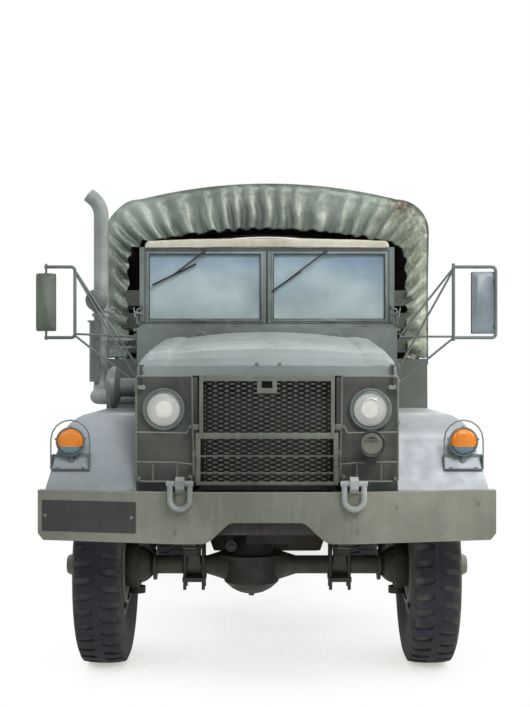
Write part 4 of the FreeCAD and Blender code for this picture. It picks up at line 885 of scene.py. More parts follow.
def lens(name, code, flute, depth, roughness=0.12, share=0.35):
    """Pressed glass: flutes are waves in its surface; share is how much of it is plain body."""
    made, tree, shader = material(name, roughness, Specular_IOR_Level=0.6, Base_Color=code)
    place = node(tree, "ShaderNodeTexCoord", out="Object")
    waves = node(tree, "ShaderNodeTexWave", {"Vector": place, "Scale": 0.314 / flute,
                 "Distortion": 1.5, "Detail": 1.0}, out="Fac", bands_direction="X")
    cells = node(tree, "ShaderNodeTexVoronoi", {"Vector": place, "Scale": 0.6 / flute})
    both = node(tree, "ShaderNodeMath", {0: waves, 1: cells}, operation="ADD")
    flutes = node(tree, "ShaderNodeBump", {"Height": both, "Distance": depth, "Strength": 0.8})
    feed(tree, shader, Normal=flutes)
    clear = node(tree, "ShaderNodeBsdfTransparent", {"Color": code})
    body = node(tree, "ShaderNodeMixShader", {0: share, 1: clear, 2: shader.outputs[0]})
    tree.links.new(body, tree.nodes["Material Output"].inputs["Surface"])
    return made


headlamp_lens = lens("fluted_headlamp_glass", "#f3f3ea", 7 * MM, 1.2 * MM, 0.1, 0.42)
amber_lens = lens("ribbed_amber_lens", "#f08a1e", 5 * MM, 1.6 * MM, 0.2, 0.82)
grey_lens = lens("blackout_grey_lens", "#5e7d86", 6 * MM, 0.8 * MM, 0.25, 0.95)
print("lenses:", [glass.name for glass in (headlamp_lens, amber_lens, grey_lens)])

# %% Headlamps
LAMP_X, LAMP_Z = 0.504, 1.384
FACE_Y = -0.660
BEZEL = [(-20, 60), (-20, 99), (26, 99), (30, 103), (44, 103.5), (49, 100), (50, 94), (47, 90),
         (50, 87), (51, 82), (47, 79.5), (34, 79.5), (30, 60)]
for side, s in SIDES:
    centre = at(s * LAMP_X, FACE_Y + 0.020, LAMP_Z)
    bm = bmesh.new()
    turned(bm, mm(*BEZEL), centre, (0, -1, 0), 64)
    for k in range(8):
        t = math.radians(45 * k + 22)
        spot = centre + Vector((math.cos(t) * 0.0965, -0.047, math.sin(t) * 0.0965))
        rod(bm, spot, spot + Vector((0, -0.005, 0)), 3.4 * MM, 8)
    fit(f"headlamp_{side}_rim", bm, cab_paint, "olive_paint")
    bm = bmesh.new()
    bowl = [(36 - 44 * (1 - (r / 79.0) ** 2), r) for r in (79, 70, 60, 50, 40, 30, 20, 10, 0)]
    turned(bm, mm(*bowl), centre, (0, -1, 0), 48)
    turned(bm, mm((20, 0), (26, 30), (24, 42), (14, 44), (13, 41), (18, 36)), centre, (0, -1, 0), 36)
    fit(f"headlamp_{side}_bowl", bm, bright_metal, "lamp_glass", recalc=False)
    bm = bmesh.new()
    dome = [(46 + 13 * (1 - (r / 80.0) ** 2), r) for r in (80, 74, 64, 52, 38, 22, 10, 0)]
    turned(bm, mm(*dome), centre, (0, -1, 0), 48)
    fit(f"headlamp_{side}_lens", bm, headlamp_lens, "lamp_glass", "headlamps", smooth=60)
print("headlamps stand %.3f m from the middle" % LAMP_X)

# %% Blackout lamp
bm = bmesh.new()
centre = at(LAMP_X, GUARD_Y - 0.028, 1.222)
turned(bm, mm((-26, 30), (-20, 44), (0, 60), (18, 65), (26, 66), (29, 62), (27, 56), (20, 54)),
       centre, (0, -1, 0), 48)
block(bm, at(LAMP_X - 0.024, GUARD_Y - 0.010, 1.116), at(LAMP_X + 0.024, GUARD_Y + 0.008, 1.168), 3 * MM)
rod(bm, at(LAMP_X, GUARD_Y - 0.006, 1.16), at(LAMP_X, GUARD_Y - 0.020, 1.19), 14 * MM, 12)
fit("blackout_lamp_body", bm, black_paint, "black_paint")
bm = bmesh.new()
turned(bm, mm((20, 54), (24, 50), (25, 0)), centre, (0, -1, 0), 40)
brow = [(math.cos(t) * 0.040, math.sin(t) * 0.040) for t in (math.radians(28 + 124 * k / 10)
                                                             for k in range(11))]
rings = []
for reach, scale in ((0.026, 1.0), (0.036, 0.94), (0.035, 0.86), (0.026, 0.90)):
    rings.append([centre + Vector((x * scale, -reach, z * scale)) for x, z in brow])
for a, b in zip(rings, rings[1:]):
    grid(bm, [a, b])
block(bm, centre + Vector((-0.036, -0.038, 0.017)), centre + Vector((0.036, -0.024, 0.021)), 1 * MM)
fit("blackout_lamp_face", bm, guard_paint, "olive_paint")
print("headlamps and blackout lamp fitted")

# %% [markdown]
# Each wing carries a round lamp on a folded foot.  Its lens has an amber upper part for the turn
# signal and a grey lower part, and a thin iron hoop bends over it against knocks.

# %% Turn lamps
TURN_X, TURN_Z = 0.972, 1.221
for side, s in SIDES:
    centre = at(s * TURN_X, -0.570, TURN_Z)
    bm = bmesh.new()
    turned(bm, mm((-50, 20), (-48, 42), (-20, 64), (6, 71), (22, 73), (26, 71), (26, 66), (20, 64.5)),
           centre, (0, -1, 0), 48)
    for k in (0, 1, 2):
        t = math.radians(10 + 80 * k)
        ear = centre + Vector((math.cos(t) * 0.072, -0.014, math.sin(t) * 0.072))
        rod(bm, ear + Vector((0, 0.010, 0)), ear + Vector((0, -0.010, 0)), 7 * MM, 8)
    foot = at(s * TURN_X, -0.585, 1.083)
    block(bm, foot + Vector((-0.098, -0.020, 0)), foot + Vector((0.098, 0.030, 0.006)), 1.5 * MM)
    block(bm, foot + Vector((-0.098, 0.026, 0)), foot + Vector((0.098, 0.032, 0.074)), 1.5 * MM)
    for end in (-1, 1):
        block(bm, foot + Vector((end * 0.098, -0.012, 0)), foot + Vector((end * 0.092, 0.030, 0.070)),
              1.5 * MM)
        rod(bm, foot + Vector((end * 0.062, -0.008, 0.004)), foot + Vector((end * 0.062, -0.008, 0.012)),
            8 * MM, 6)
    rod(bm, centre + Vector((0, 0.02, -0.05)), foot + Vector((0, 0.028, 0.03)), 20 * MM, 14)
    hoop = [foot + Vector((-0.096, -0.012, 0.004)), foot + Vector((-0.096, -0.012, 0.148))]
    hoop += [foot + Vector((0.096 * math.cos(t), -0.012, 0.148 + 0.097 * math.sin(t)))
             for t in (math.pi * (1 - k / 8) for k in range(1, 8))]
    hoop += [foot + Vector((0.096, -0.012, 0.148)), foot + Vector((0.096, -0.012, 0.004))]
    pipe(bm, hoop, 3.6 * MM, 30 * MM, 8, 4)
    fit(f"turn_lamp_{side}_housing", bm, lamp_paint, "olive_paint", "turn_lamps")
    for part, low, high, finish in (("amber", -0.024, 0.07, amber_lens),
                                    ("grey", -0.07, -0.024, grey_lens)):
        bm = bmesh.new()
        turned(bm, mm((22, 64.5), (30, 62), (38, 50), (43, 30), (45, 0)), centre, (0, -1, 0), 40)
        for z, keep_below in ((low, False), (high, True)):
            bmesh.ops.bisect_plane(bm, geom=bm.verts[:] + bm.edges[:] + bm.faces[:],
                                         plane_co=centre + Vector((0, 0, z)), plane_no=(0, 0, 1),
                                         clear_outer=keep_below, clear_inner=not keep_below)
        fit(f"turn_lamp_{side}_{part}", bm, finish, "lamp_amber", smooth=60)
    bm = bmesh.new()
    half = 0.058
    block(bm, centre + Vector((-half, -0.036, -0.027)), centre + Vector((half, -0.022, -0.022)), 1 * MM)
    fit(f"turn_lamp_{side}_divider", bm, black_paint, "black_paint")
print("turn lamps fitted")

# %% [markdown]
# Canvas is cut flat and hung over an arch, so a sheet is built here as rows of one arch: the same
# points, evenly spaced along the cloth from one hem to the other, carried back along the truck.
# The front edge turns inward and is gathered by a cord round the opening.  A gathered edge has
# more cloth than line, and the spare cloth stands in folds that are deep at the cord and die out
# toward the flat edge, so their depth grows with the distance from that edge.

# %% Arches
def arch(half, low, side, top, r, count):
    """Evenly spaced (x, z, outward x, outward z) along an arch, and its length; sizes in mm."""
    reach, rise = half - r, top - side
    crown = (reach ** 2 + rise ** 2) / (2 * rise)
    open_half = math.asin(reach / crown)
    run = []
    for i in range(41):
        run.append((half, low + (side - r - low) * i / 40, 1.0, 0.0))
    for i in range(1, 25):
        t = math.pi / 2 * i / 24
        run.append((reach + r * math.cos(t), side - r + r * math.sin(t), math.cos(t), math.sin(t)))
    for i in range(1, 41):
        t = open_half * (1 - i / 40)
        run.append((crown * math.sin(t), top - crown + crown * math.cos(t), math.sin(t),
                    math.cos(t)))
    run += [(-x, z, -nx, nz) for x, z, nx, nz in reversed(run[:-1])]
    run.reverse()
    lengths = [0.0]
    for a, b in zip(run, run[1:]):
        lengths.append(lengths[-1] + math.hypot(b[0] - a[0], b[1] - a[1]))
    points, k = [], 0
    for i in range(count):
        want = lengths[-1] * i / (count - 1)
        while k < len(run) - 2 and lengths[k + 1] < want:
            k += 1
        t = (want - lengths[k]) / (lengths[k + 1] - lengths[k])
        points.append([(a + (b - a) * t) * f for a, b, f in
                       zip(run[k], run[k + 1], (MM, MM, 1.0, 1.0))])
    return points, lengths[-1] * MM


def ripple(place, seed):
    """A smooth wave about -1 to 1 whose folds differ in width and depth."""
    return noise.noise(Vector((place, seed, 0.0))) + 0.45 * noise.noise(Vector((place * 2.3, seed,
                                                                                7.0)))
print("cloth over an arch 2 m wide: %.3f m" % arch(1000, 0, 500, 620, 150, 9)[1])

# %% [markdown]
# The cloth is coated, so it has a soft shine on its folds.  Faded patches and the grime that runs
# down from the top are broad noise; a tight weave shows only close by.

# %% Canvas
def canvas(name, base, faded, dark, roughness=0.5, stain=None):
    """Coated cloth; stain is a colour that spots the cover's left side, most of all near the front."""
    made, tree, shader = material(name, roughness, Specular_IOR_Level=0.5, Sheen_Weight=0.15,
                                  Sheen_Roughness=0.4)
    place = node(tree, "ShaderNodeTexCoord", out="Object")
    broad = node(tree, "ShaderNodeTexNoise", {"Vector": place, "Scale": 1 / (480 * MM),
                                              "Detail": 5.0, "Roughness": 0.6})
    colour = node(tree, "ShaderNodeValToRGB", {"Fac": broad},
                  [(0.28, dark), (0.50, base), (0.74, faded)])
    for size, squeeze, low, high, most, code in ((70, (1, 1, 0.22), 0.48, 0.78, 0.55, faded),
                                                 (120, (1, 0.6, 0.35), 0.54, 0.76, 0.45, dark)):
        drawn = node(tree, "ShaderNodeMapping", {"Vector": place, "Scale": squeeze})
        spots = node(tree, "ShaderNodeTexNoise", {"Vector": drawn, "Scale": 1 / (size * MM),
                                                  "Detail": 5.0, "Roughness": 0.65})
        amount = node(tree, "ShaderNodeValToRGB", {"Fac": spots}, [(low, 0.0), (high, most)])
        colour = node(tree, "ShaderNodeMix", {"Factor": amount, "A": colour, "B": code},
                      data_type="RGBA")
    if stain:
        side = node(tree, "ShaderNodeSeparateXYZ", {"Vector": place}, out="X")
        spots = node(tree, "ShaderNodeTexNoise", {"Vector": place, "Scale": 1 / (26 * MM),
                                                  "Detail": 5.0, "Roughness": 0.7})
        here = node(tree, "ShaderNodeValToRGB", {"Fac": side}, [(0.72, 0.0), (1.0, 0.7)])
        back = node(tree, "ShaderNodeSeparateXYZ", {"Vector": place}, out="Y")
        front = node(tree, "ShaderNodeMapRange", {"Value": back, "From Min": AXLE_Y + 2.1,
                     "From Max": AXLE_Y + 3.4, "To Min": 1.0, "To Max": 0.12})
        spots = node(tree, "ShaderNodeValToRGB", {"Fac": spots}, [(0.46, 0.05), (0.64, 1.0)])
        amount = node(tree, "ShaderNodeMath", {0: here, 1: spots}, operation="MULTIPLY")
        amount = node(tree, "ShaderNodeMath", {0: amount, 1: front}, operation="MULTIPLY")
        colour = node(tree, "ShaderNodeMix", {"Factor": amount, "A": colour, "B": stain},
                      data_type="RGBA")
    wrinkle = node(tree, "ShaderNodeTexNoise", {"Vector": place, "Scale": 1 / (46 * MM),
                                                "Detail": 4.0, "Roughness": 0.62})
    soft = node(tree, "ShaderNodeBump", {"Height": wrinkle, "Distance": 9.0 * MM, "Strength": 0.6})
    threads = node(tree, "ShaderNodeTexVoronoi", {"Vector": place, "Scale": 1 / (1.6 * MM)})
    skin = node(tree, "ShaderNodeBump", {"Height": threads, "Distance": 0.12 * MM, "Strength": 0.4,
                                         "Normal": soft})
    feed(tree, shader, Base_Color=colour, Normal=skin)
    return made


cover_canvas = canvas("coated_canvas_cover", "#6b756a", "#96a196", "#485148", 0.34, stain="#aaa584")
print("cloth:", cover_canvas.name)

# %% Cargo cover
COVER_Y0, COVER_Y1 = 2050.0, 5720.0
BOWS = [2300.0 + 810.0 * i for i in range(5)]
AROUND = 361
outer, arch_length = arch(1151, 1651, 2776, 2889, 235, AROUND)
mouth = arch(985, 1652, 2478, 2566, 150, AROUND)[0]


def side_share(i):
    """0 on the crown, 1 on the straight sides of an arch."""
    return min(1.0, max(0.0, abs(outer[i][2]) * 1.25 - 0.15))


def top_point(i, y):
    """The cloth over the bows: it lies on each bow and sags a little between them."""
    x, z, nx, nz = outer[i]
    nearest = min(abs(y - b) for b in BOWS + [COVER_Y0, COVER_Y1])
    sag = 1 - math.exp(-(nearest / 190.0) ** 2)
    low = min(1.0, max(0.0, (2.72 - z) / 0.9))
    depth = (7 + 15 * (1 - side_share(i)) + 13 * low) * sag
    tail = 1 - math.exp(-((COVER_Y1 - y) / 260.0) ** 2)
    drawn = ripple(y * 0.0042 + z * 1.1, 3.0 + (0 if x > 0 else 9)) + 0.9
    draw = tail * drawn * 9 * side_share(i) * (0.2 + low)
    crease = (ripple(i * 0.09 + y * 0.0016, 21.0) + 0.9) * 3.0 * sag
    hem = ripple(y * 0.006, 40.0 + (0 if x > 0 else 5)) * 8 * max(0.0, 1 - (z - 1.69) / 0.2)
    corner = math.exp(-((math.atan2(nx, nz) + 0.80) / 0.50) ** 2)
    shoulder = 17 * corner * math.exp(-((y - COVER_Y0) / 420) ** 2)
    inward = (depth + draw + crease + shoulder + 2) * MM
    return Vector((x - nx * inward, 0, z - nz * inward + hem * 0.7 * MM * low)) + at(0, y * MM, 0)


def fold_at(s, seed, sharp=1.0):
    """Depth from -1 to 1 of the standing folds that a drawn cord makes, by distance along it."""
    warped = s * 7.4 + 0.55 * noise.noise(Vector((s * 3.1, seed, 0))) + 0.25 * math.sin(s * 5.1 + seed)
    wave = math.sin(warped * 2 * math.pi)
    shaped = math.copysign(abs(wave) ** sharp, wave)
    size = 0.55 + 0.75 * abs(noise.noise(Vector((s * 2.2, seed + 30, 4.0)))) * 1.6
    return shaped * size + 0.3 * ripple(s * 19.0, seed + 3)


def band_point(i, u, inner, y_edge, outward, seed, start):
    """The gathered band; u runs from 0 at the edge to 1 at the drawn hem."""
    a, b = start[i], inner[i]
    s = i / (AROUND - 1) * arch_length
    sway = 0.06 * noise.noise(Vector((s * 2.0, seed, u * 1.7)))
    x, z = a.x + (b[0] - a.x) * u, a.z + (b[1] - a.z) * u
    fold = fold_at(s + sway * u, seed, 0.75) * 62 * u ** 0.9
    broad = ripple(s * 3.2 + u * 0.9, seed + 8) * 34 * math.sin(math.pi * min(1, u * 1.1))
    pucker = ripple(s * 26.0 + u * 1.3, seed + 13) * 17 * max(0.0, u - 0.35)
    seam = 5.0 * math.exp(-((u - 0.16) / 0.03) ** 2)
    bulge = 16 * math.sin(math.pi * u) + 30 * u
    edge = ripple(s * 15.0, seed + 19) * 15 * max(0.0, u - 0.6) / 0.4 + fold_at(s, seed) * 7 * u ** 3
    across_y = y_edge + outward * (fold * 0.62 + broad + pucker + seam + bulge - 30 * u)
    return Vector((x + b[2] * edge * MM, 0, z + b[3] * edge * MM)) + at(0, across_y * MM, 0)


front_row = [top_point(i, COVER_Y0 + 6) for i in range(AROUND)]
rows = [[band_point(i, 1 - k / 22, mouth, COVER_Y0 + 18, -1, 2.0, front_row) for i in range(AROUND)]
        for k in range(22)]
steps = 68
span = COVER_Y1 - COVER_Y0 - 22
rows += [[top_point(i, COVER_Y0 + 6 + span * k / steps) for i in range(AROUND)]
         for k in range(steps + 1)]
bm = bmesh.new()
grid(bm, rows)
cover = piece("cargo_cover_canvas", bm, cover_canvas, 60)
thickened(cover, 2.2 * MM)
cover.data.shade_smooth()
dress(cover, "chassis", "canvas_olive", "cargo_cover")


def skin_area(rows):
    """The area of a skin over rows of points."""
    total = 0.0
    for a, b in zip(rows, rows[1:]):
        for i in range(len(a) - 1):
            total += ((a[i + 1] - a[i]).cross(b[i] - a[i]).length
                      + (b[i] - b[i + 1]).cross(a[i + 1] - b[i + 1]).length) / 2
    return total


cover_cut = skin_area(rows) / arch_length
print("cover cut %.2f by %.2f m" % (arch_length, cover_cut))

# %% [markdown]
# A separate curtain closes the back.  It hangs from the last bow, so it is straight at the top and
# falls into upright folds that grow downward, and its hem stands out by a doubled cloth.

# %% Rear curtain
CURTAIN_COLUMNS, CURTAIN_ROWS = 181, 40
CURTAIN_HALF, CURTAIN_CUT_WIDTH, CURTAIN_HEM = 1.1455, 2.30, 1.650
rows = []
for k in range(CURTAIN_ROWS + 1):
    u = k / CURTAIN_ROWS
    row = []
    for i in range(CURTAIN_COLUMNS):
        t = i / (CURTAIN_COLUMNS - 1)
        side = (2 * t - 1) * CURTAIN_HALF
        crown = max(z for x, z, nx, nz in outer if abs(x - side) < 0.012) - 0.012
        z = crown + (CURTAIN_HEM - crown) * u
        fold = math.sin(side * 11.0 + 0.8 * noise.noise(Vector((side * 2.0, 5.0, u)))) * (4 + 11 * u)
        fold += ripple(side * 6.0 + u * 0.4, 51.0) * (3 + 9 * u)
        hem = 4.0 if u > 0.955 else 0.0
        row.append(Vector((side, 0, z)) + at(0, (COVER_Y1 - 20 + fold * 0.5 + hem) * MM, 0))
    rows.append(row)
bm = bmesh.new()
grid(bm, rows)
curtain = piece("cargo_cover_rear_curtain", bm, cover_canvas, 60)
thickened(curtain, 2.2 * MM)
curtain.data.shade_smooth()
dress(curtain, "chassis", "canvas_olive", "cargo_cover")
curtain_cut = skin_area(rows) / CURTAIN_CUT_WIDTH
print("rear curtain cut %.2f by %.2f m" % (CURTAIN_CUT_WIDTH, curtain_cut))

# %% [markdown]
# Eyelets along the cover's lower edge take the ropes that tie it down, and a small square of
# rust-red cloth patches a worn place over the left shoulder.  Each side's eyelets are one row.

# %% Eyelets and patch
EYELETS, EYELET_PITCH, EYELET_Z = 9, 0.42, 1.742
bm = bmesh.new()
for side in (-1, 1):
    eye = bmesh.new()
    turned(eye, mm((-3, 9), (2, 10.5), (3, 8), (-3, 6), (-3, 9)), (0, 0, 0), (side, 0, 0), 12)
    add_row(bm, eye, EYELETS, at(side * 1.150, 2.20, EYELET_Z), (0, EYELET_PITCH, 0), black_paint)
fit("cover_eyelets", bm, black_paint, "black_paint")
patch_cloth = canvas("patch_cloth", "#7a4a3a", "#94604b", "#57352a", 0.6)
bm = bmesh.new()
patch = []
for j in range(5):
    row = []
    for i in range(6):
        s0 = 0.5 + (0.965 + 0.045 * i / 5) / arch_length
        e = band_point(min(AROUND - 1, int(round(s0 * (AROUND - 1)))), 0.08 + 0.035 * j, mouth,
                       COVER_Y0 + 18, -1, 2.0, front_row)
        row.append(e + Vector((0, -0.0035, 0)))
    patch.append(row)
grid(bm, patch)
fit("cover_patch", bm, patch_cloth, "canvas_olive", smooth=60, recalc=False)
print("eyelets and patch fitted")

# %% [markdown]
# The cab's roof is a smaller canvas, drawn tight over two bows.  Its front hem is folded over the
# windscreen's top rail; behind, the same cloth falls as the back curtain with a clear window,
# which is why one skin is built over the roof and down the back.

# %% Cab roof
roof_canvas = canvas("faded_canvas_roof", "#aea894", "#c5c1b0", "#8a8571", 0.75)
ROOF_AROUND = 141
# columns: distance behind the axle, half width, side's top, crown, swell of the cloth (mm)
ROOF_ROWS = [(682, 728, 2331, 2346, 2), (686, 728, 2337, 2352, 3), (696, 729, 2341, 2356, 4),
             (716, 729, 2342, 2357, 2), (730, 731, 2343, 2358, 0), (850, 739, 2352, 2371, -2),
             (1000, 748, 2362, 2384, 0), (1180, 753, 2364, 2387, -4), (1370, 757, 2368, 2392, 0),
             (1550, 760, 2371, 2397, -4), (1700, 764, 2374, 2402, 0), (1738, 764, 2372, 2400, 0),
             (1750, 762, 2362, 2390, 0)]


def roof_row(y, half, side, top, swell, k):
    """One arch of the roof's cloth and its length; sizes in mm."""
    row, length = arch(half, 2310, side, top, 28, ROOF_AROUND)
    points = []
    for i, (x, z, nx, nz) in enumerate(row):
        wave = ripple(x * 5.0 + k * 0.37, 77.0) * 2.2 + ripple(x * 15.0, 80.0 + k) * 1.2
        puff = (swell + wave - 3) * MM
        points.append(Vector((x + nx * puff, 0, z + nz * puff)) + at(0, y * MM, 0))
    return points, length


rows = []
for k, (y, half, side, top, swell) in enumerate(ROOF_ROWS):
    row, roof_length = roof_row(y, half, side, top, swell, k)
    rows.append(row)
front = rows[0]
hem_drop = [[Vector((p.x, p.y - 0.0015 * j + ripple(p.x * 8, 90.0) * 0.0012 * j,
                     max(p.z - 0.0155 * j, 2.303 + ripple(p.x * 6, 91.0) * 0.003)))
             for p in front] for j in (3, 2, 1)]
back = rows[-1]
falls = []
for j in range(1, 13):
    u = j / 12
    falls.append([Vector((p.x, at(0, (1752 + 3 * ripple(p.x * 7 + u, 95.0) * u) * MM, 0).y,
                          p.z + (1.79 - p.z) * u if p.z > 2.306 else 1.79 + (p.z - 1.79) * (1 - u)))
                  for p in back])
made_rows = hem_drop + rows + falls
bm = bmesh.new()
grid(bm, made_rows)
opening = []
for face in bm.faces:
    middle = face.calc_center_median()
    if middle.y > at(0, 1.747, 0).y and abs(middle.x) < 0.33 and 1.96 < middle.z < 2.20:
        opening.append(face)
bmesh.ops.delete(bm, geom=opening, context="FACES")
roof = piece("cab_roof_canvas", bm, roof_canvas, 60)
thickened(roof, 2.5 * MM)
roof.data.shade_smooth()
dress(roof, "chassis", "canvas_tan", "cab_roof")
roof_cut = skin_area(made_rows) / roof_length
skin_area(made_rows) - 0.16
print("roof cloth %.2f by %.2f m" % (roof_length, roof_cut))

# %% [markdown]
# Under the roof two thin steel bows carry the cloth, and the quarters behind the doors are stiff
# canvas flaps.

# %% Roof bows, quarters and back window
bm = bmesh.new()
for y, half, top in ((1.000, 0.742, 2.376), (1.370, 0.751, 2.384)):
    bend = [at(-half, y, 2.02), at(-half, y, top - 0.030), at(0, y, top - 0.006),
            at(half, y, top - 0.030), at(half, y, 2.02)]
    pipe(bm, bend, 9 * MM, 45 * MM, 10)
fit("cab_roof_bows", bm, cab_paint, "olive_paint")
bm = bmesh.new()
for s in (-1, 1):
    flap = []
    for k in range(9):
        z = 1.81 + 0.50 * k / 8
        flap.append([at(s * (0.760 + 0.002 * ripple(y * 9 + k * 0.3, 31.0)), y, z)
                     for y in (1.600, 1.625, 1.65, 1.675, 1.70, 1.725, 1.750)])
    grid(bm, flap)
quarters = piece("cab_quarter_flaps", bm, roof_canvas, 60)
thickened(quarters, 2.5 * MM)
dress(quarters, "chassis", "canvas_tan")
print("bows and quarters fitted")

# %% [markdown]
# Flat laminated panes carry a film of dust and water marks.  The film is its own thin layer of
# paint-like colour over clear glass, mixed by a slow noise: partly dust, and partly a painted
# reflection of a cloudy sky, bluish at the top and greener toward the hood, so the panes only
# faintly show what is behind them.  The back window is a clouded plastic sheet just inside its
# opening.

# %% Glass
def pane_glass(name, film, high_film_and_reflection_codes, low_film_and_reflection_codes, span):
    """A clear pane under a film of dust and a painted sky reflection; film is its lowest and highest
    share, span its z range.
    """
    made, tree, shader = material(name, 0.08, Specular_IOR_Level=0.6)
    place = node(tree, "ShaderNodeTexCoord", out="Object")
    drawn = node(tree, "ShaderNodeMapping", {"Vector": place, "Scale": (0.8, 1.0, 1.3)})
    # The slow noise is a painted reflection of clouds, mixed into the dusty film.
    clouds = node(tree, "ShaderNodeTexNoise", {"Vector": drawn, "Scale": 1 / (420 * MM),
                                               "Detail": 2.5, "Roughness": 0.5})
    stops = (0.36, 0.50, 0.66)
    high = node(tree, "ShaderNodeValToRGB", {"Fac": clouds}, list(zip(stops, high_film_and_reflection_codes)))
    low = node(tree, "ShaderNodeValToRGB", {"Fac": clouds}, list(zip(stops, low_film_and_reflection_codes)))
    z = node(tree, "ShaderNodeSeparateXYZ", {"Vector": place}, out="Z")
    rise = node(tree, "ShaderNodeMapRange", {"Value": z, "From Min": span[0], "From Max": span[1]})
    film_and_painted_reflection = node(tree, "ShaderNodeMix", {"Factor": rise, "A": low, "B": high}, data_type="RGBA")
    feed(tree, shader, Base_Color=film_and_painted_reflection)
    clear = node(tree, "ShaderNodeBsdfTransparent", {"Color": "#aab6b8"})
    marks = node(tree, "ShaderNodeTexNoise", {"Vector": place, "Scale": 1 / (160 * MM),
                                              "Detail": 3.0, "Roughness": 0.55})
    share = node(tree, "ShaderNodeMapRange", {"Value": marks, "From Min": 0.35, "From Max": 0.65,
                                              "To Min": film[0], "To Max": film[1]})
    both = node(tree, "ShaderNodeMixShader", {0: share, 1: clear, 2: shader.outputs[0]})
    tree.links.new(both, tree.nodes["Material Output"].inputs["Surface"])
    return made


screen_glass = pane_glass("dusty_glass_painted_sky_reflection", (0.78, 0.92), ("#7f95a6", "#90a5b1", "#a6b7bd"),
                          ("#98a9a4", "#a8b7b4", "#bac6c3"), (1.90, 2.22))
door_pane = pane_glass("dusty_door_glass_painted_reflection", (0.45, 0.7), ("#7f8c8c", "#8d9a98", "#a8b2ac"),
                       ("#7b8784", "#8a9490", "#a0a8a0"), (1.85, 2.25))
sight = pane_glass("clouded_plastic_window", (0.55, 0.8), ("#8f9488", "#a1a698", "#b1b4a6"),
                   ("#8a8f83", "#9a9f92", "#a8ab9e"), (1.95, 2.22))
mirror_glass = material("silvered_mirror_glass", 0.03, 1.0, Base_Color="#d5dade")[0]
paint(screen_glass, "windscreen_glass")
paint(door_pane, "door_glass_left", "door_glass_right")
bm = bmesh.new()
block(bm, at(-0.345, 1.7475, 1.945), at(0.345, 1.7490, 2.215), 0.5 * MM)
fit("cab_back_window", bm, sight, "glass", smooth=60)
print("panes finished")

# %% [markdown]
# Small hardware sits on pressed sheet, so each piece needs the sheet's own height where it stands.
# A ray cast on the frame's solids finds it, and nothing has to be guessed by eye.

# %% Feeling for a surface
FELT = {}


def surface(name, start, direction):
    """Where a ray first meets a CAD node."""
    if name not in FELT:
        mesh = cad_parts[name].data
        FELT[name] = BVHTree.FromPolygons([v.co for v in mesh.vertices],
                                          [p.vertices[:] for p in mesh.polygons])
    return FELT[name].ray_cast(Vector(start), Vector(direction))[0]


def top_of(name, x, behind):
    """A point on a CAD node's top."""
    return surface(name, at(x, behind, 4.0), (0, 0, -1))


def front_of(name, x, z):
    """A point on a CAD node's front."""
    return surface(name, at(x, -3.0, z), (0, 1, 0))


print("hood crown:", round(top_of("hood", 0, 0.3).z, 3))

# %% [markdown]
# On the hood stand two rests that the folded windscreen lies on, each a bridge over two feet with
# a wing screw.  Two screws stand at the hood's nose, and a strap hooks each front corner down.

# %% Hood hardware
REST_Y = 0.50
bm = bmesh.new()
for s in (-1, 1):
    x = s * 0.395
    for end in (-0.030, 0.030):
        foot = top_of("hood", x + end, REST_Y)
        block(bm, foot + Vector((-0.010, -0.018, -0.003)), foot + Vector((0.010, 0.018, 0.006)), 1 * MM)
        rod(bm, foot + Vector((0, 0, 0.004)), foot + Vector((0, 0, 0.014)), 5 * MM, 8)
    a, b = top_of("hood", x - 0.034, REST_Y), top_of("hood", x + 0.034, REST_Y)
    pipe(bm, [a + Vector((0, 0, 0.002)), a + Vector((0.006, 0, 0.022)), b + Vector((-0.006, 0, 0.022)),
              b + Vector((0, 0, 0.002))], 4.5 * MM, 12 * MM, 8)
    middle = (a + b) / 2 + Vector((0, 0, 0.026))
    for end in (-1, 1):
        rod(bm, middle, middle + Vector((end * 0.014, 0.004, 0.012)), 3 * MM, 8, 4.5 * MM)
fit("hood_rests", bm, cab_paint, "olive_paint", body="hood")
bm = bmesh.new()
for x in (-0.050, 0.062):
    spot = front_of("hood", x, 1.602)
    rod(bm, spot + Vector((0, 0.004, 0)), spot + Vector((0, -0.004, 0.002)), 6.5 * MM, 6)
    rod(bm, spot + Vector((0, 0.004, 0)), spot + Vector((0, -0.002, 0.001)), 10 * MM, 14)
fit("hood_screws", bm, guard_paint, "olive_paint", body="hood")
bm = bmesh.new()
metal = bmesh.new()
for s in (-1, 1):
    spot = at(s * 0.612, -0.669, 1.575)
    block(metal, spot + Vector((-0.013, -0.008, -0.004)), spot + Vector((0.013, 0.006, 0.026)), 2 * MM)
    pipe(metal, [spot + Vector((-0.010, -0.006, 0.018)), spot + Vector((-0.010, -0.020, 0.030)),
                 spot + Vector((0.010, -0.020, 0.030)), spot + Vector((0.010, -0.006, 0.018))],
         2.6 * MM, 5 * MM, 8)
    pipe(bm, [spot + Vector((0, -0.018, 0.024)), spot + Vector((0, -0.022, -0.020)),
              spot + Vector((0, -0.018, -0.075))], 6 * MM, 30 * MM, 10)
    block(metal, spot + Vector((-0.016, -0.022, -0.094)), spot + Vector((0.016, 0.010, -0.072)), 2 * MM)
    rod(metal, spot + Vector((-0.022, -0.014, -0.083)), spot + Vector((0.022, -0.014, -0.083)),
        4 * MM, 8)
fit("hood_latch_straps", bm, black_paint, "black_paint")
fit("hood_latch_hooks", metal, pale_paint, "pale_paint")
print("hood hardware fitted")

# %% [markdown]
# The radiator stands close behind the grille: a core whose fins run upright, a row laid by
# Geometry Nodes.  Core and fins are near black, painted shade for the dark inside the nose, and
# only the fins' edges show through the mesh.

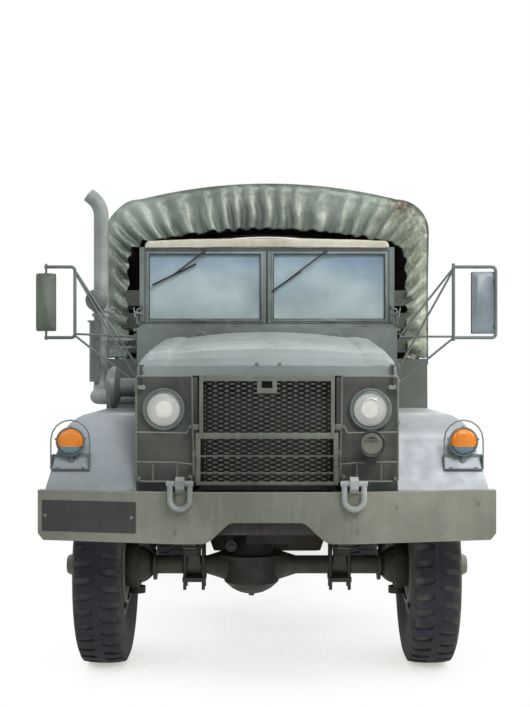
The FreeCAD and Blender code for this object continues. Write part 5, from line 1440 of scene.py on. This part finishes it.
# %% Radiator core
core_low, core_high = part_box("radiator")
bm = bmesh.new()
block(bm, core_low + Vector((0, 0.004, 0)), core_high, 4 * MM)
FINS, FIN_MARGIN = 39, 0.018
one_fin = bmesh.new()
block(one_fin, (-0.0016, 0, 0), (0.0016, 0.010, core_high.z - 0.050 - (core_low.z + 0.030)), 0)
add_row(bm, one_fin, FINS, core_low + Vector((FIN_MARGIN, 0, 0.030)),
        ((core_high.x - core_low.x - 2 * FIN_MARGIN) / (FINS - 1), 0, 0), soot_black_and_painted_shade)
# The core and its fins are near black: painted shade for the dark inside of the nose.
fit("radiator_core", bm, soot_black_and_painted_shade, "black_paint", "radiator")
print("radiator fitted")

# %% [markdown]
# The bumper is a folded channel.  A blank dark plate is bolted to its right half, and
# round-headed bolts with hexagon nuts stand along the channel's face.

# %% Bumper plate and bolts
BUMPER_Y = -0.870


def bumper_face(x):
    """The front face's distance behind the axle at x."""
    return BUMPER_Y + 0.150 * max(0.0, abs(x) - 0.430) / 0.680


bm = bmesh.new()
plate = [[at(x, bumper_face(x) - 0.0005 - depth, z) for x, z in
          ((-1.088, 0.800), (-0.624, 0.800), (-0.624, 0.948), (-1.088, 0.948))]
         for depth in (0, 0.003)]
sweep(bm, plate)
fit("blank_plate", bm, black_paint, "black_paint", smooth=30)
bm = bmesh.new()
for x, z in ((-1.070, 0.874), (-0.642, 0.874), (-0.43, 0.94), (-0.43, 0.81), (0.43, 0.94), (0.43, 0.81),
             (-0.375, 0.875), (0.375, 0.875), (0.62, 0.93), (1.02, 0.93)):
    spot = at(x, bumper_face(x), z)
    rod(bm, spot + Vector((0, 0.004, 0)), spot + Vector((0, -0.003, 0)), 10 * MM, 14)
    rod(bm, spot + Vector((0, 0.002, 0)), spot + Vector((0, -0.007, 0)), 6.5 * MM, 6)
fit("bumper_bolts", bm, bumper_paint, "olive_paint")
print("bumper plate and bolts fitted")

# %% [markdown]
# Behind the front axle hangs a ribbed sump guard, brown-green with old oil.  In front of it a
# brake hose bends down to each side, and a round plug with a hexagon stands on the right.

# %% Oily underside
bm = bmesh.new()
outline = [(-0.33, 0.640), (-0.30, 0.556), (0.30, 0.556), (0.33, 0.640), (0.33, 0.742), (-0.33, 0.742)]
sweep(bm, [[at(x * f, y, z) for x, z in outline] for y, f in
           ((0.245, 0.90), (0.26, 1.0), (0.62, 1.0), (0.64, 0.92))])
for x in (-0.24, -0.12, 0.0, 0.12, 0.24):
    block(bm, at(x - 0.006, 0.236, 0.575), at(x + 0.006, 0.262, 0.715), 2 * MM)
for x in (-0.29, -0.10, 0.10, 0.29):
    rod(bm, at(x, 0.246, 0.700), at(x, 0.228, 0.700), 9 * MM, 6)
fit("sump_guard", bm, sump_paint, "black_paint")
bm = bmesh.new()
for s in (-1, 1):
    pipe(bm, [at(s * 0.30, -0.10, 0.742), at(s * 0.34, -0.115, 0.700), at(s * 0.43, -0.10, 0.640),
              at(s * 0.52, -0.065, 0.600)], 6 * MM, 40 * MM, 8)
rod(bm, at(-0.190, -0.150, 0.640), at(-0.190, -0.130, 0.640), 30 * MM, 20)
rod(bm, at(-0.190, -0.165, 0.640), at(-0.190, -0.150, 0.640), 12 * MM, 6)
fit("brake_hoses", bm, black_paint, "black_paint")
print("underside fitted")

# %% [markdown]
# The windscreen is two framed panes hung in one outer frame.  Each pane's frame is a thin angle
# with a black rubber strip round the glass, and a dark gap shows between the two in the middle.

# %% Pane frames and strips
def rim(bm, low, high, wide, depth, bevel):
    """A flat rim of bars between two corners, each wide metres wide."""
    (x0, y, z0), (x1, _, z1) = low, high
    block(bm, (x0, y - depth, z0), (x0 + wide, y, z1), bevel)
    block(bm, (x1 - wide, y - depth, z0), (x1, y, z1), bevel)
    block(bm, (x0 + wide, y - depth, z0), (x1 - wide, y, z0 + wide), bevel)
    block(bm, (x0 + wide, y - depth, z1 - wide), (x1 - wide, y, z1), bevel)


SCREEN_FACE = 0.698
bm, strips = bmesh.new(), bmesh.new()
for s in (-1, 1):
    xs = sorted((s * 0.026, s * 0.718))
    rim(bm, at(xs[0], SCREEN_FACE + 0.001, 1.862), at(xs[1], SCREEN_FACE + 0.001, 2.276),
        0.0105, 0.008, 1.5 * MM)
    xs = sorted((s * 0.036, s * 0.708))
    rim(strips, at(xs[0], SCREEN_FACE, 1.872), at(xs[1], SCREEN_FACE, 2.266), 0.006, 0.004, 1 * MM)
block(strips, at(-0.006, SCREEN_FACE - 0.0015, 1.850), at(0.006, SCREEN_FACE, 2.290), 0.5 * MM)
for z0, z1 in ((2.283, 2.288), (1.848, 1.853)):
    block(strips, at(-0.735, SCREEN_FACE - 0.001, z0), at(0.735, SCREEN_FACE, z1), 0.4 * MM)
for s in (-1, 1):
    block(strips, at(s * 0.728, SCREEN_FACE - 0.001, 1.850), at(s * 0.733, SCREEN_FACE, 2.286), 0.4 * MM)
for x in (-0.39, 0.37):
    for z in (1.868, 2.270):
        block(bm, at(x - 0.045, SCREEN_FACE - 0.012, z - 0.007),
              at(x + 0.045, SCREEN_FACE, z + 0.007), 1.5 * MM)
fit("pane_frames", bm, screen_paint, "olive_paint")
fit("pane_rubber", strips, black_paint, "black_paint")
print("pane frames and rubber strips fitted")

# %% Side hinges of the windscreen
bm, bright = bmesh.new(), bmesh.new()
for s in (-1, 1):
    x = s * 0.772
    block(bm, at(s * 0.742, 0.694, 1.842), at(s * 0.786, 0.736, 1.856), 2 * MM)
    block(bm, at(s * 0.742, 0.690, 1.800), at(s * 0.800, 0.735, 1.818), 3 * MM)
    pipe(bm, [at(s * 0.742, 0.686, 1.935), at(s * 0.776, 0.682, 1.935), at(s * 0.776, 0.682, 1.845)],
         6 * MM, 14 * MM, 8)
    block(bm, at(s * 0.732, 0.684, 1.856), at(s * 0.756, 0.700, 1.962), 2.5 * MM)
    rod(bm, at(s * 0.744, 0.684, 1.952), at(s * 0.744, 0.668, 1.952), 8 * MM, 10)
    rod(bright, at(s * 0.744, 0.676, 1.905), at(s * 0.790, 0.660, 1.915), 4 * MM, 8, 5.5 * MM)
    rod(bright, at(s * 0.786, 0.660, 1.885), at(s * 0.794, 0.660, 1.945), 4.5 * MM, 8, 3 * MM)
    rod(bm, at(s * 0.730, 0.690, 1.808), at(s * 0.800, 0.690, 1.808), 9 * MM, 12)
fit("screen_hinges", bm, cab_paint, "olive_paint")
fit("screen_thumbscrews", bright, pale_paint, "pale_paint")
print("windscreen fittings made")

# %% [markdown]
# The exhaust climbs beside the cowl as one pipe with a long easy bend at its top, and heat has
# left it paler than the paint beside it.  The hot lower half stands behind a half-round guard of
# perforated sheet.  Its holes are painted shade: dark pegs a hair proud of the sheet, in upright
# rows laid by Geometry Nodes, every other row raised by half a step.

# %% Exhaust stack
stack_paint = enamel("heat_faded_stack", "#858c87", "#a3a9a2", "#636a66", 0.5, 0.2)
STACK_X, STACK_Y = -0.993, 0.700
RUN_Y, RUN_Z = 0.450, 1.416         # the pipe's level run out of the nose
PIPE_R, TIP_FOOT, TIP_BEND, TIP_LEAN = 0.044, 2.4925, 0.14, math.radians(50)
GUARD_FOOT, GUARD_RISE, GUARD_IN, GUARD_OUT = 1.500, 0.36, 0.066, 0.070
bm = bmesh.new()
line = rounded([at(-0.637, RUN_Y, RUN_Z), at(STACK_X, RUN_Y, RUN_Z), at(STACK_X, STACK_Y, RUN_Z),
                at(STACK_X, STACK_Y, TIP_FOOT)], 0.11, 8)
for k in range(1, 13):
    t = TIP_LEAN * k / 12
    line.append(at(STACK_X - TIP_BEND * (1 - math.cos(t)), STACK_Y, TIP_FOOT + TIP_BEND * math.sin(t)))
line.append(line[-1] + Vector((-math.sin(TIP_LEAN), 0, math.cos(TIP_LEAN))) * 0.030)
rings = carried_rings(line, lambda p: PIPE_R * (1 - 0.05 * math.exp(-((p.z - 2.19) / 0.03) ** 2)), 28)
end, back = line[-1], line[-1] - line[-2]
inner = [[end + (p - end) * 0.90 for p in rings[-1]],
         [end - back * 2.6 + (p - end) * 0.88 for p in rings[-1]]]
sweep(bm, rings + inner)
for z in (1.900, 1.930):
    turned(bm, [(a * MM, r) for a, r in ((-10, 0.043), (-10, 0.054), (10, 0.054), (10, 0.043),
                                         (-10, 0.043))],
           at(STACK_X, STACK_Y, z), (0, 0, 1), 28)
rod(bm, at(STACK_X + 0.050, STACK_Y - 0.02, 1.915), at(STACK_X + 0.085, STACK_Y - 0.02, 1.915), 6 * MM, 8)
for z0, z1 in ((1.745, 1.762), (1.700, 1.714)):
    block(bm, at(STACK_X + 0.04, STACK_Y - 0.012, z0), at(-0.766, STACK_Y + 0.012, z1), 3 * MM)
for x in (STACK_X + 0.06, -0.790):
    rod(bm, at(x, STACK_Y - 0.014, 1.753), at(x, STACK_Y - 0.022, 1.753), 8 * MM, 6)
fit("exhaust_pipe", bm, stack_paint, "olive_paint", "exhaust_stack")
bm = bmesh.new()
guard_rows, guard_steps = 36, 20
inside, outside = [[[at(STACK_X, STACK_Y, GUARD_FOOT + GUARD_RISE * j / guard_rows)
                     + Vector((-r * math.cos(t), -r * math.sin(t), 0))
                     for t in (math.pi * (k / guard_steps - 0.5) for k in range(guard_steps + 1))]
                    for j in range(guard_rows + 1)] for r in (GUARD_IN, GUARD_OUT)]
sweep(bm, [far + list(reversed(near)) for near, far in zip(inside, outside)])
for z in (1.560, 1.790):
    block(bm, at(STACK_X - 0.067, STACK_Y - 0.008, z),
          at(STACK_X - 0.042, STACK_Y + 0.008, z + 0.012), 1 * MM)
block(bm, at(STACK_X - 0.074, STACK_Y - 0.06, 1.856), at(STACK_X - 0.010, STACK_Y + 0.06, 1.866), 2 * MM)
fit("exhaust_guard", bm, cab_paint, "olive_paint")
bm = bmesh.new()
# Dark pegs stand for the holes: painted shade where the sheet is pierced.
HOLE_RISE = 0.0195
for count, first, shift in ((9, 0, 0), (8, 1, 13)):
    for k in range(5):
        t = math.radians(-52 + 26 * k + shift)
        out = Vector((-math.cos(t), -math.sin(t), 0))
        hole = bmesh.new()
        rod(hole, out * 0.0685, out * 0.0704, 3.6 * MM, 6)
        add_row(bm, hole, count, at(STACK_X, STACK_Y, 1.525 + HOLE_RISE * first),
                (0, 0, 2 * HOLE_RISE), soot_black_and_painted_shade)
fit("exhaust_guard_holes", bm, soot_black_and_painted_shade, "black_paint")
print("exhaust fitted")

# %% [markdown]
# Each mirror stands on a bar braced by four thin rods to the cowl: the left one in a closed loop,
# the right one between two arms, with a round mirror inboard of it.  The heads are pressed shells
# with a broad bevel on the side that looks forward, and silvered glass faces the driver.

# %% Mirror arms
bm = bmesh.new()
MIRROR_Y = 0.600
# x0, x1, z0, z1, front y and back y of each head
MIRROR_HEADS = {"left": (1.213, 1.363, 1.785, 2.153, 0.630, 0.662),
                "right": (-1.363, -1.247, 1.800, 2.141, 0.586, 0.618)}
LOOP_TOP, LOOP_FOOT = 2.180, 1.762
LEFT_BAR, RIGHT_BAR = 1.102, -1.135
for near, far in ((LEFT_BAR, 1.352), (-1.314, RIGHT_BAR)):
    bend = [(near, LOOP_TOP), (far, LOOP_TOP), (far, LOOP_FOOT), (near, LOOP_FOOT)]
    pipe(bm, [at(x, MIRROR_Y, z) for x, z in bend], 10 * MM, 26 * MM, 14)
rod(bm, at(LEFT_BAR, MIRROR_Y, 2.200), at(LEFT_BAR, MIRROR_Y, 1.742), 10 * MM, 14)
for z0, z1 in ((1.748, 1.830), (2.110, 2.198)):
    rod(bm, at(-1.305, MIRROR_Y, z0), at(-1.305, MIRROR_Y, z1), 7 * MM, 12)
for z in (1.834, 2.096):
    rod(bm, at(1.352, MIRROR_Y, z), at(1.352, MIRROR_Y + 0.036, z), 10 * MM, 12)
for inner, feet in ((LEFT_BAR, ((2.174, 1.770), (2.164, 1.590), (1.768, 1.768), (1.760, 1.500))),
                    (RIGHT_BAR, ((2.160, 1.618), (2.148, 1.540), (1.784, 1.768), (1.774, 1.500)))):
    s = math.copysign(1, inner)
    for height, foot in feet:
        rod(bm, at(inner, MIRROR_Y, height), at(s * 0.783, 0.603, foot), 6.5 * MM, 10)
        block(bm, at(s * 0.766, 0.585, foot - 0.018), at(s * 0.784, 0.622, foot + 0.018), 3 * MM)
        rod(bm, at(inner, MIRROR_Y, height), at(inner, MIRROR_Y - 0.014, height), 6 * MM, 6)
turned(bm, [(0, 0), (0, 0.050), (0.008, 0.064), (0.024, 0.066), (0.024, 0)],
       at(-1.012, MIRROR_Y + 0.010, 1.985), (0, 1, 0), 32)
for x0, x1, z0, z1, y0, y1 in MIRROR_HEADS.values():
    block(bm, at(x0, y0, z0), at(x1, y1, z1), 8 * MM)
fit("mirror_arms", bm, cab_paint, "olive_paint", "mirrors")
print("mirror arms fitted")

# %% Mirror shells
def bevelled_shell(bm, x0, x1, z0, z1, y, rise, inset):
    """A tray of height rise whose front is inset from its edge, facing forward."""
    def loop(i, depth, corner):
        """A rounded rectangle, inset by i and standing forward by depth."""
        points = []
        for cx, cz, start in ((x1, z1, 0), (x0, z1, 90), (x0, z0, 180), (x1, z0, 270)):
            mx = cx - math.copysign(corner + i, cx - (x0 + x1) / 2)
            mz = cz - math.copysign(corner + i, cz - (z0 + z1) / 2)
            points += [at(mx + corner * math.cos(math.radians(start + 15 * k)), y - depth,
                          mz + corner * math.sin(math.radians(start + 15 * k))) for k in range(7)]
        return points
    sweep(bm, [loop(0, 0, 0.022), loop(0, rise * 0.35, 0.022), loop(inset * 0.5, rise * 0.55, 0.018),
               loop(inset, rise, 0.012)])


mirror_dark = enamel("satin_enamel_mirror_back", "#4f574b", "#66705f", "#3b4238", 0.4, 0.2)
mirror_pale = enamel("chalky_enamel_mirror_back", "#7f898d", "#959fa3", "#687276", 0.4, 0.2)
for side, finish in (("left", mirror_pale), ("right", mirror_dark)):
    x0, x1, z0, z1, front_y, back_y = MIRROR_HEADS[side]
    bm = bmesh.new()
    bevelled_shell(bm, x0 + 0.0015, x1 - 0.0015, z0, z1, front_y, 0.017, 0.026)
    fit(f"mirror_{side}_shell", bm, finish, "olive_paint", smooth=30)
    bm = bmesh.new()
    block(bm, at(x0 + 0.010, back_y, z0 + 0.010), at(x1 - 0.010, back_y + 0.0015, z1 - 0.010), 0.5 * MM)
    fit(f"mirror_{side}_glass", bm, mirror_glass, "glass", smooth=30)
print("mirrors fitted")

# %% [markdown]
# The cab's cushions are canvas over padding.  Each starts as a rounded block a little under its
# final size, is given an even skin by a voxel remesh, and is blown up by a short cloth
# simulation whose swelling is capped, as a real cover stops the stuffing.

# %% Seat cushions
CLOTH_FRAMES = 20
MOST_SWELL = 26 * MM
seat_canvas = canvas("seat_canvas", "#5b6150", "#71765f", "#43483a", 0.75)


def cushion(name, low, high, seams):
    """A padded block between two corners; seams are the x places of its sewn channels."""
    shrink = 0.020
    bm = bmesh.new()
    block(bm, low + Vector((shrink,) * 3), high - Vector((shrink,) * 3), 22 * MM)
    start = piece(f"{name}_start", bm, seat_canvas, 60)
    skin = start.modifiers.new("skin", "REMESH")
    skin.mode = "VOXEL"
    skin.voxel_size = 9 * MM
    finished(start)
    rest = [v.co.copy() for v in start.data.vertices]
    cloth = start.modifiers.new("padding", "CLOTH")
    cloth.settings.use_pressure = True
    cloth.settings.uniform_pressure_force = 4.0
    cloth.settings.effector_weights.gravity = 0
    for step in range(1, CLOTH_FRAMES + 1):
        scene.frame_set(step)
    finished(start)
    scene.frame_set(1)
    bm = bmesh.new()
    bm.from_mesh(start.data)
    bpy.data.objects.remove(start)
    for v, before in zip(bm.verts, rest):
        move = v.co - before
        if move.length > MOST_SWELL:
            move *= MOST_SWELL / move.length
        spot = before + move
        v.co = Vector([min(max(spot[k], low[k] - 0.004), high[k] + 0.004) for k in range(3)])
    thin_z = (high - low).z < (high - low).y
    for v in bm.verts:
        for x in seams:
            dip = 9 * MM * math.exp(-((v.co.x - x) / 0.008) ** 2)
            face = (high.z - v.co.z) if thin_z else (v.co.y - low.y)
            if face < 0.05:
                v.co += Vector((0, 0, -dip)) if thin_z else Vector((0, dip, 0))
    bmesh.ops.smooth_vert(bm, verts=bm.verts, factor=0.4)
    made = piece(name, bm, seat_canvas, 60)
    smooth = made.modifiers.new("smooth", "SUBSURF")
    smooth.levels = smooth.render_levels = 1
    finished(made)
    made.data.shade_smooth()
    dress(made, "chassis", "canvas_seat", "seat_pads")
    return made


for seat, x0, x1 in (("driver", 0.140, 0.640), ("passenger", -0.640, -0.060)):
    seams = [x0 + (x1 - x0) * k / 4 for k in (1, 2, 3)]
    cushion(f"{seat}_cushion", at(x0 + 0.004, 1.122, 1.383), at(x1 - 0.004, 1.545, 1.482), seams)
    cushion(f"{seat}_backrest", at(x0 + 0.004, 1.470, 1.500), at(x1 - 0.004, 1.556, 1.975), seams)
print("cushions made")

# %% [markdown]
# The instrument panel has three round gauges and four small lamps, all in pale rings.  The
# gauges' dials are plain: short strokes round the edge and a needle, no lettering.  Three pedals
# hang under the panel, and a lever with a round knob stands beside them.

# %% Gauges
PANEL_Y = 0.806
dial_face = material("printed_dial", 0.5, Base_Color="#15171a")[0]
dial_marks = material("dial_marks", 0.5, Base_Color="#dfe0d4")[0]
GAUGES = ((-0.120, 1.726, 0.034), (-0.030, 1.726, 0.034), (0.075, 1.720, 0.046), (0.140, 1.690, 0.018),
          (-0.120, 1.680, 0.012), (-0.075, 1.680, 0.012), (-0.030, 1.680, 0.012))
rims, faces, marks = bmesh.new(), bmesh.new(), bmesh.new()
for x, z, r in GAUGES:
    centre = at(x, PANEL_Y, z)
    turned(rims, [(0, r), (0, r * 1.16), (4 * MM, r * 1.12), (5 * MM, r), (0, r)], centre, (0, 1, 0), 32)
    turned(faces, [(0, r), (1.2 * MM, r), (1.2 * MM, 0)], centre, (0, 1, 0), 32)
    for k in range(9 if r > 0.03 else 0):
        t = math.radians(-30 + 30 * k)
        out = Vector((math.cos(t), 0, math.sin(t)))
        rod(marks, centre + out * r * 0.72 + Vector((0, 0.0014, 0)),
            centre + out * r * 0.90 + Vector((0, 0.0014, 0)), 0.9 * MM, 4)
    if r > 0.03:
        rod(marks, centre + Vector((0, 0.0020, 0)), centre + Vector((-0.5 * r, 0.0020, 0.55 * r)),
            1.0 * MM, 4, 0.4 * MM)
fit("gauge_rims", rims, pale_paint, "pale_paint")
fit("gauge_faces", faces, dial_face, "black_plastic")
fit("gauge_marks", marks, dial_marks, "pale_paint")
bm = bmesh.new()
for x in (0.30, 0.39, 0.48):
    block(bm, at(x - 0.032, 0.700, 1.240), at(x + 0.032, 0.712, 1.310), 4 * MM,
          Matrix.Rotation(math.radians(-30), 3, "X"))
    rod(bm, at(x, 0.708, 1.27), at(x, 0.600, 1.36), 7 * MM, 8)
rod(bm, at(0.05, 0.95, 1.092), at(0.08, 0.92, 1.48), 8 * MM, 10)
turned(bm, mm((-22, 0), (-18, 15), (0, 22), (18, 15), (22, 0)),
       at(0.08, 0.92, 1.49), (0, 0, 1), 16)
fit("pedals_and_levers", bm, black_paint, "black_paint")
print("dials and lamps on the panel:", len(GAUGES))

# %% [markdown]
# Each door has a pull handle that turns in a round plate.  A ray cast finds the door's skin.

# %% Door handles
for side, s in SIDES:
    bm = bmesh.new()
    base = surface(f"door_{side}", at(s * 3, 1.560, 1.720), (-s, 0, 0))
    turned(bm, mm((0, 26), (4, 25), (7, 14), (20, 11), (22, 0)),
           base, (s, 0, 0), 20)
    pipe(bm, [base + Vector((s * 0.020, 0, 0)), base + Vector((s * 0.034, -0.010, 0)),
              base + Vector((s * 0.036, -0.120, -0.012))], 8 * MM, 12 * MM, 10)
    fit(f"door_handle_{side}", bm, cab_paint, "olive_paint", body=f"door_{side}")
print("door handles fitted")

# %% [markdown]
# The spare wheel is the same wheel turned to stand across the truck behind the cab, so the tyre
# and disc are built on the axle line by the same functions and then carried there.

# %% Spare wheel
SPARE = at(0.250, 1.885, 1.512)
DISC_FACE = 0.146                   # from the wheel's middle to its bolt face


def carried(bm):
    """Turn what stands on the axle line at the origin to face along the truck, at the carrier."""
    turn = Matrix.Translation(SPARE) @ Matrix.Rotation(math.radians(90), 4, "Z")
    bmesh.ops.transform(bm, matrix=turn @ Matrix.Translation((0, 0, -AXLE_Z)), verts=bm.verts)
    return bm


spare_rubber = rubber("spare_rubber", [tuple(SPARE)], (1, 0, 1))
bm = bmesh.new()
tyre(bm, 0.0, 0.0)
fit("spare_tyre_tread", carried(bm), spare_rubber, "tyre", "spare_tyre")
bm = bmesh.new()
disc(bm, 0.0, 0.0, 1)
for k in range(6):
    t = math.radians(60 * k + 15)
    spot = Vector((DISC_FACE, math.cos(t) * 0.085, AXLE_Z + math.sin(t) * 0.085))
    rod(bm, spot, spot + Vector((0.022, 0, 0)), 16 * MM, 6)
carried(bm)
low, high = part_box("spare_rim")
face = SPARE.y + DISC_FACE
block(bm, (SPARE.x - 0.110, face + 0.001, low.z), (SPARE.x + 0.110, face + 0.014, SPARE.z + 0.130), 3 * MM)
block(bm, (low.x, SPARE.y + 0.020, low.z), (high.x, face + 0.014, low.z + 0.019), 3 * MM)
rod(bm, (SPARE.x, face - 0.020, SPARE.z), (SPARE.x, face + 0.004, SPARE.z), 0.090, 32)
fit("spare_wheel_disc", bm, wheel_paint, "olive_paint", "spare_rim")
print("spare wheel fitted")

# %% [markdown]
# Rack slats and bows are sawn ash under old paint.  The grain follows each board, so it runs
# along the truck on the side slats; the paint has worn through to grey wood in streaks.

# %% Painted wood
def board(name, along, code, worn, dark):
    """Painted wood whose grain is drawn out along one axis, 0 for x, 1 for y."""
    made, tree, shader = material(name, 0.68)
    place = node(tree, "ShaderNodeTexCoord", out="Object")
    scale = [1.0, 1.0, 1.0]
    scale[along] = 0.06
    drawn = node(tree, "ShaderNodeMapping", {"Vector": place, "Scale": scale})
    grain = node(tree, "ShaderNodeTexNoise", {"Vector": drawn, "Scale": 1 / (9 * MM),
                                              "Detail": 6.0, "Roughness": 0.65})
    colour = node(tree, "ShaderNodeValToRGB", {"Fac": grain}, [(0.32, dark), (0.52, code), (0.78, worn)])
    broad = node(tree, "ShaderNodeTexNoise", {"Vector": place, "Scale": 1 / (300 * MM), "Detail": 3.0})
    tone = node(tree, "ShaderNodeValToRGB", {"Fac": broad}, [(0.3, 0.78), (0.7, 1.0)])
    colour = node(tree, "ShaderNodeMix", {"Factor": 1.0, "A": colour, "B": tone}, data_type="RGBA",
                  blend_type="MULTIPLY")
    skin = node(tree, "ShaderNodeBump", {"Height": grain, "Distance": 0.8 * MM, "Strength": 0.6})
    feed(tree, shader, Base_Color=colour, Normal=skin)
    return made


slat_wood = board("painted_ash_slats", 1, "#454a42", "#6d6d60", "#2c302a")
bow_wood = board("painted_ash_bows", 0, "#4c5047", "#74725f", "#33362f")
paint(slat_wood, "cargo_racks")
paint(bow_wood, "cargo_bows")
print("painted wood:", slat_wood.name, "and", bow_wood.name)

# %% [markdown]
# The bed floor is planked, one board repeated across it.  A group of three screws stands on each
# post of the left rack, and that group is repeated along the truck in the same way.

# %% Floor boards
floor_wood = board("bed_floor_boards", 1, "#5c594c", "#84806d", "#3d3b32")
BOARDS, BOARD_PITCH, BOARD_GAP, BOARD_LENGTH = 12, 0.166, 0.008, 3.50
POSTS, POST_PITCH = 6, 0.700
bm, one_board = bmesh.new(), bmesh.new()
half_board = (BOARD_PITCH - BOARD_GAP) / 2
block(one_board, (-half_board, 0, 0.0), (half_board, BOARD_LENGTH, 0.006), 1.5 * MM)
add_row(bm, one_board, BOARDS, at(-(BOARDS - 1) / 2 * BOARD_PITCH, 2.105, 1.3205),
        (BOARD_PITCH, 0, 0), floor_wood)
fit("bed_floor_boards", bm, floor_wood, "painted_wood")
bm, one_group = bmesh.new(), bmesh.new()
for z in (0.0, 0.085, 0.17):
    rod(one_group, (0, 0, z), (0.004, 0, z), 8 * MM, 8)
add_row(bm, one_group, POSTS, at(1.0855, 2.140, 1.41), (0, POST_PITCH, 0), pale_paint)
fit("rack_screws_left", bm, pale_paint, "pale_paint")
print("floor boards and screws laid")

# %% [markdown]
# The tail lamps are red pressed glass, a large and a small lens at each side.

# %% Tail lamps
TAIL_Y, TAIL_Z = 5.724, 1.160
red_lens = lens("pressed_red_lens", "#a01c16", 5 * MM, 1.0 * MM, 0.2, 0.9)
for side, s in SIDES:
    bm = bmesh.new()
    for x, r in ((0.680, 0.029), (0.746, 0.021)):
        turned(bm, [(0, r), (4 * MM, r * 0.9), (7 * MM, r * 0.6), (8 * MM, 0)],
               at(s * x, TAIL_Y, TAIL_Z), (0, 1, 0), 24)
    fit(f"tail_lens_{side}", bm, red_lens, "lamp_amber", smooth=60)
print("tail lamps fitted")

# %% [markdown]
# Whatever solid no added piece stands for keeps its CAD mesh and only takes a finish.

# %% Finishes on the CAD meshes
spring_steel = enamel("oily_spring_steel", "#2f2c28", "#4b463d", "#191715", 0.6, 0.6, "#655c4e")
seat_frame_paint = enamel("seat_frame_enamel", "#555c53", "#6b7268", "#41473f", 0.5)
bakelite = enamel("black_bakelite", "#17181a", "#232427", "#0f1011", 0.3, 0.1, speckle=0.2)
paint(chassis_paint, "frame_rails", "crossmembers", "axles", "prop_shafts", "fuel_tank",
      "tie_rod", "knuckle_left", "knuckle_right", "rear_fittings")
paint(spring_steel, "leaf_springs")
paint(soot_black_and_painted_shade, "powertrain")
paint(bumper_paint, "front_bumper")
paint(pale_paint, "tow_shackles")
paint(panel_paint_and_shade, "nose_panels")
paint(screen_paint, "windscreen_frame")
paint(cab_paint, "cab_shell", "air_intake", "door_left", "door_right", "dashboard",
      "step_boxes")
paint(seat_frame_paint, "seat_frames")
paint(wing_paint, "front_wings")
paint(hood_paint, "hood")
paint(bed_paint, "cargo_bed", "rack_posts", "tailgate")
paint(black_paint, "wipers")
paint(bakelite, "steering_wheel")
missing = [name for name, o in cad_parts.items() if not len(o.data.materials)]
print("nodes whose solid is hidden by a finished piece:", len(missing))
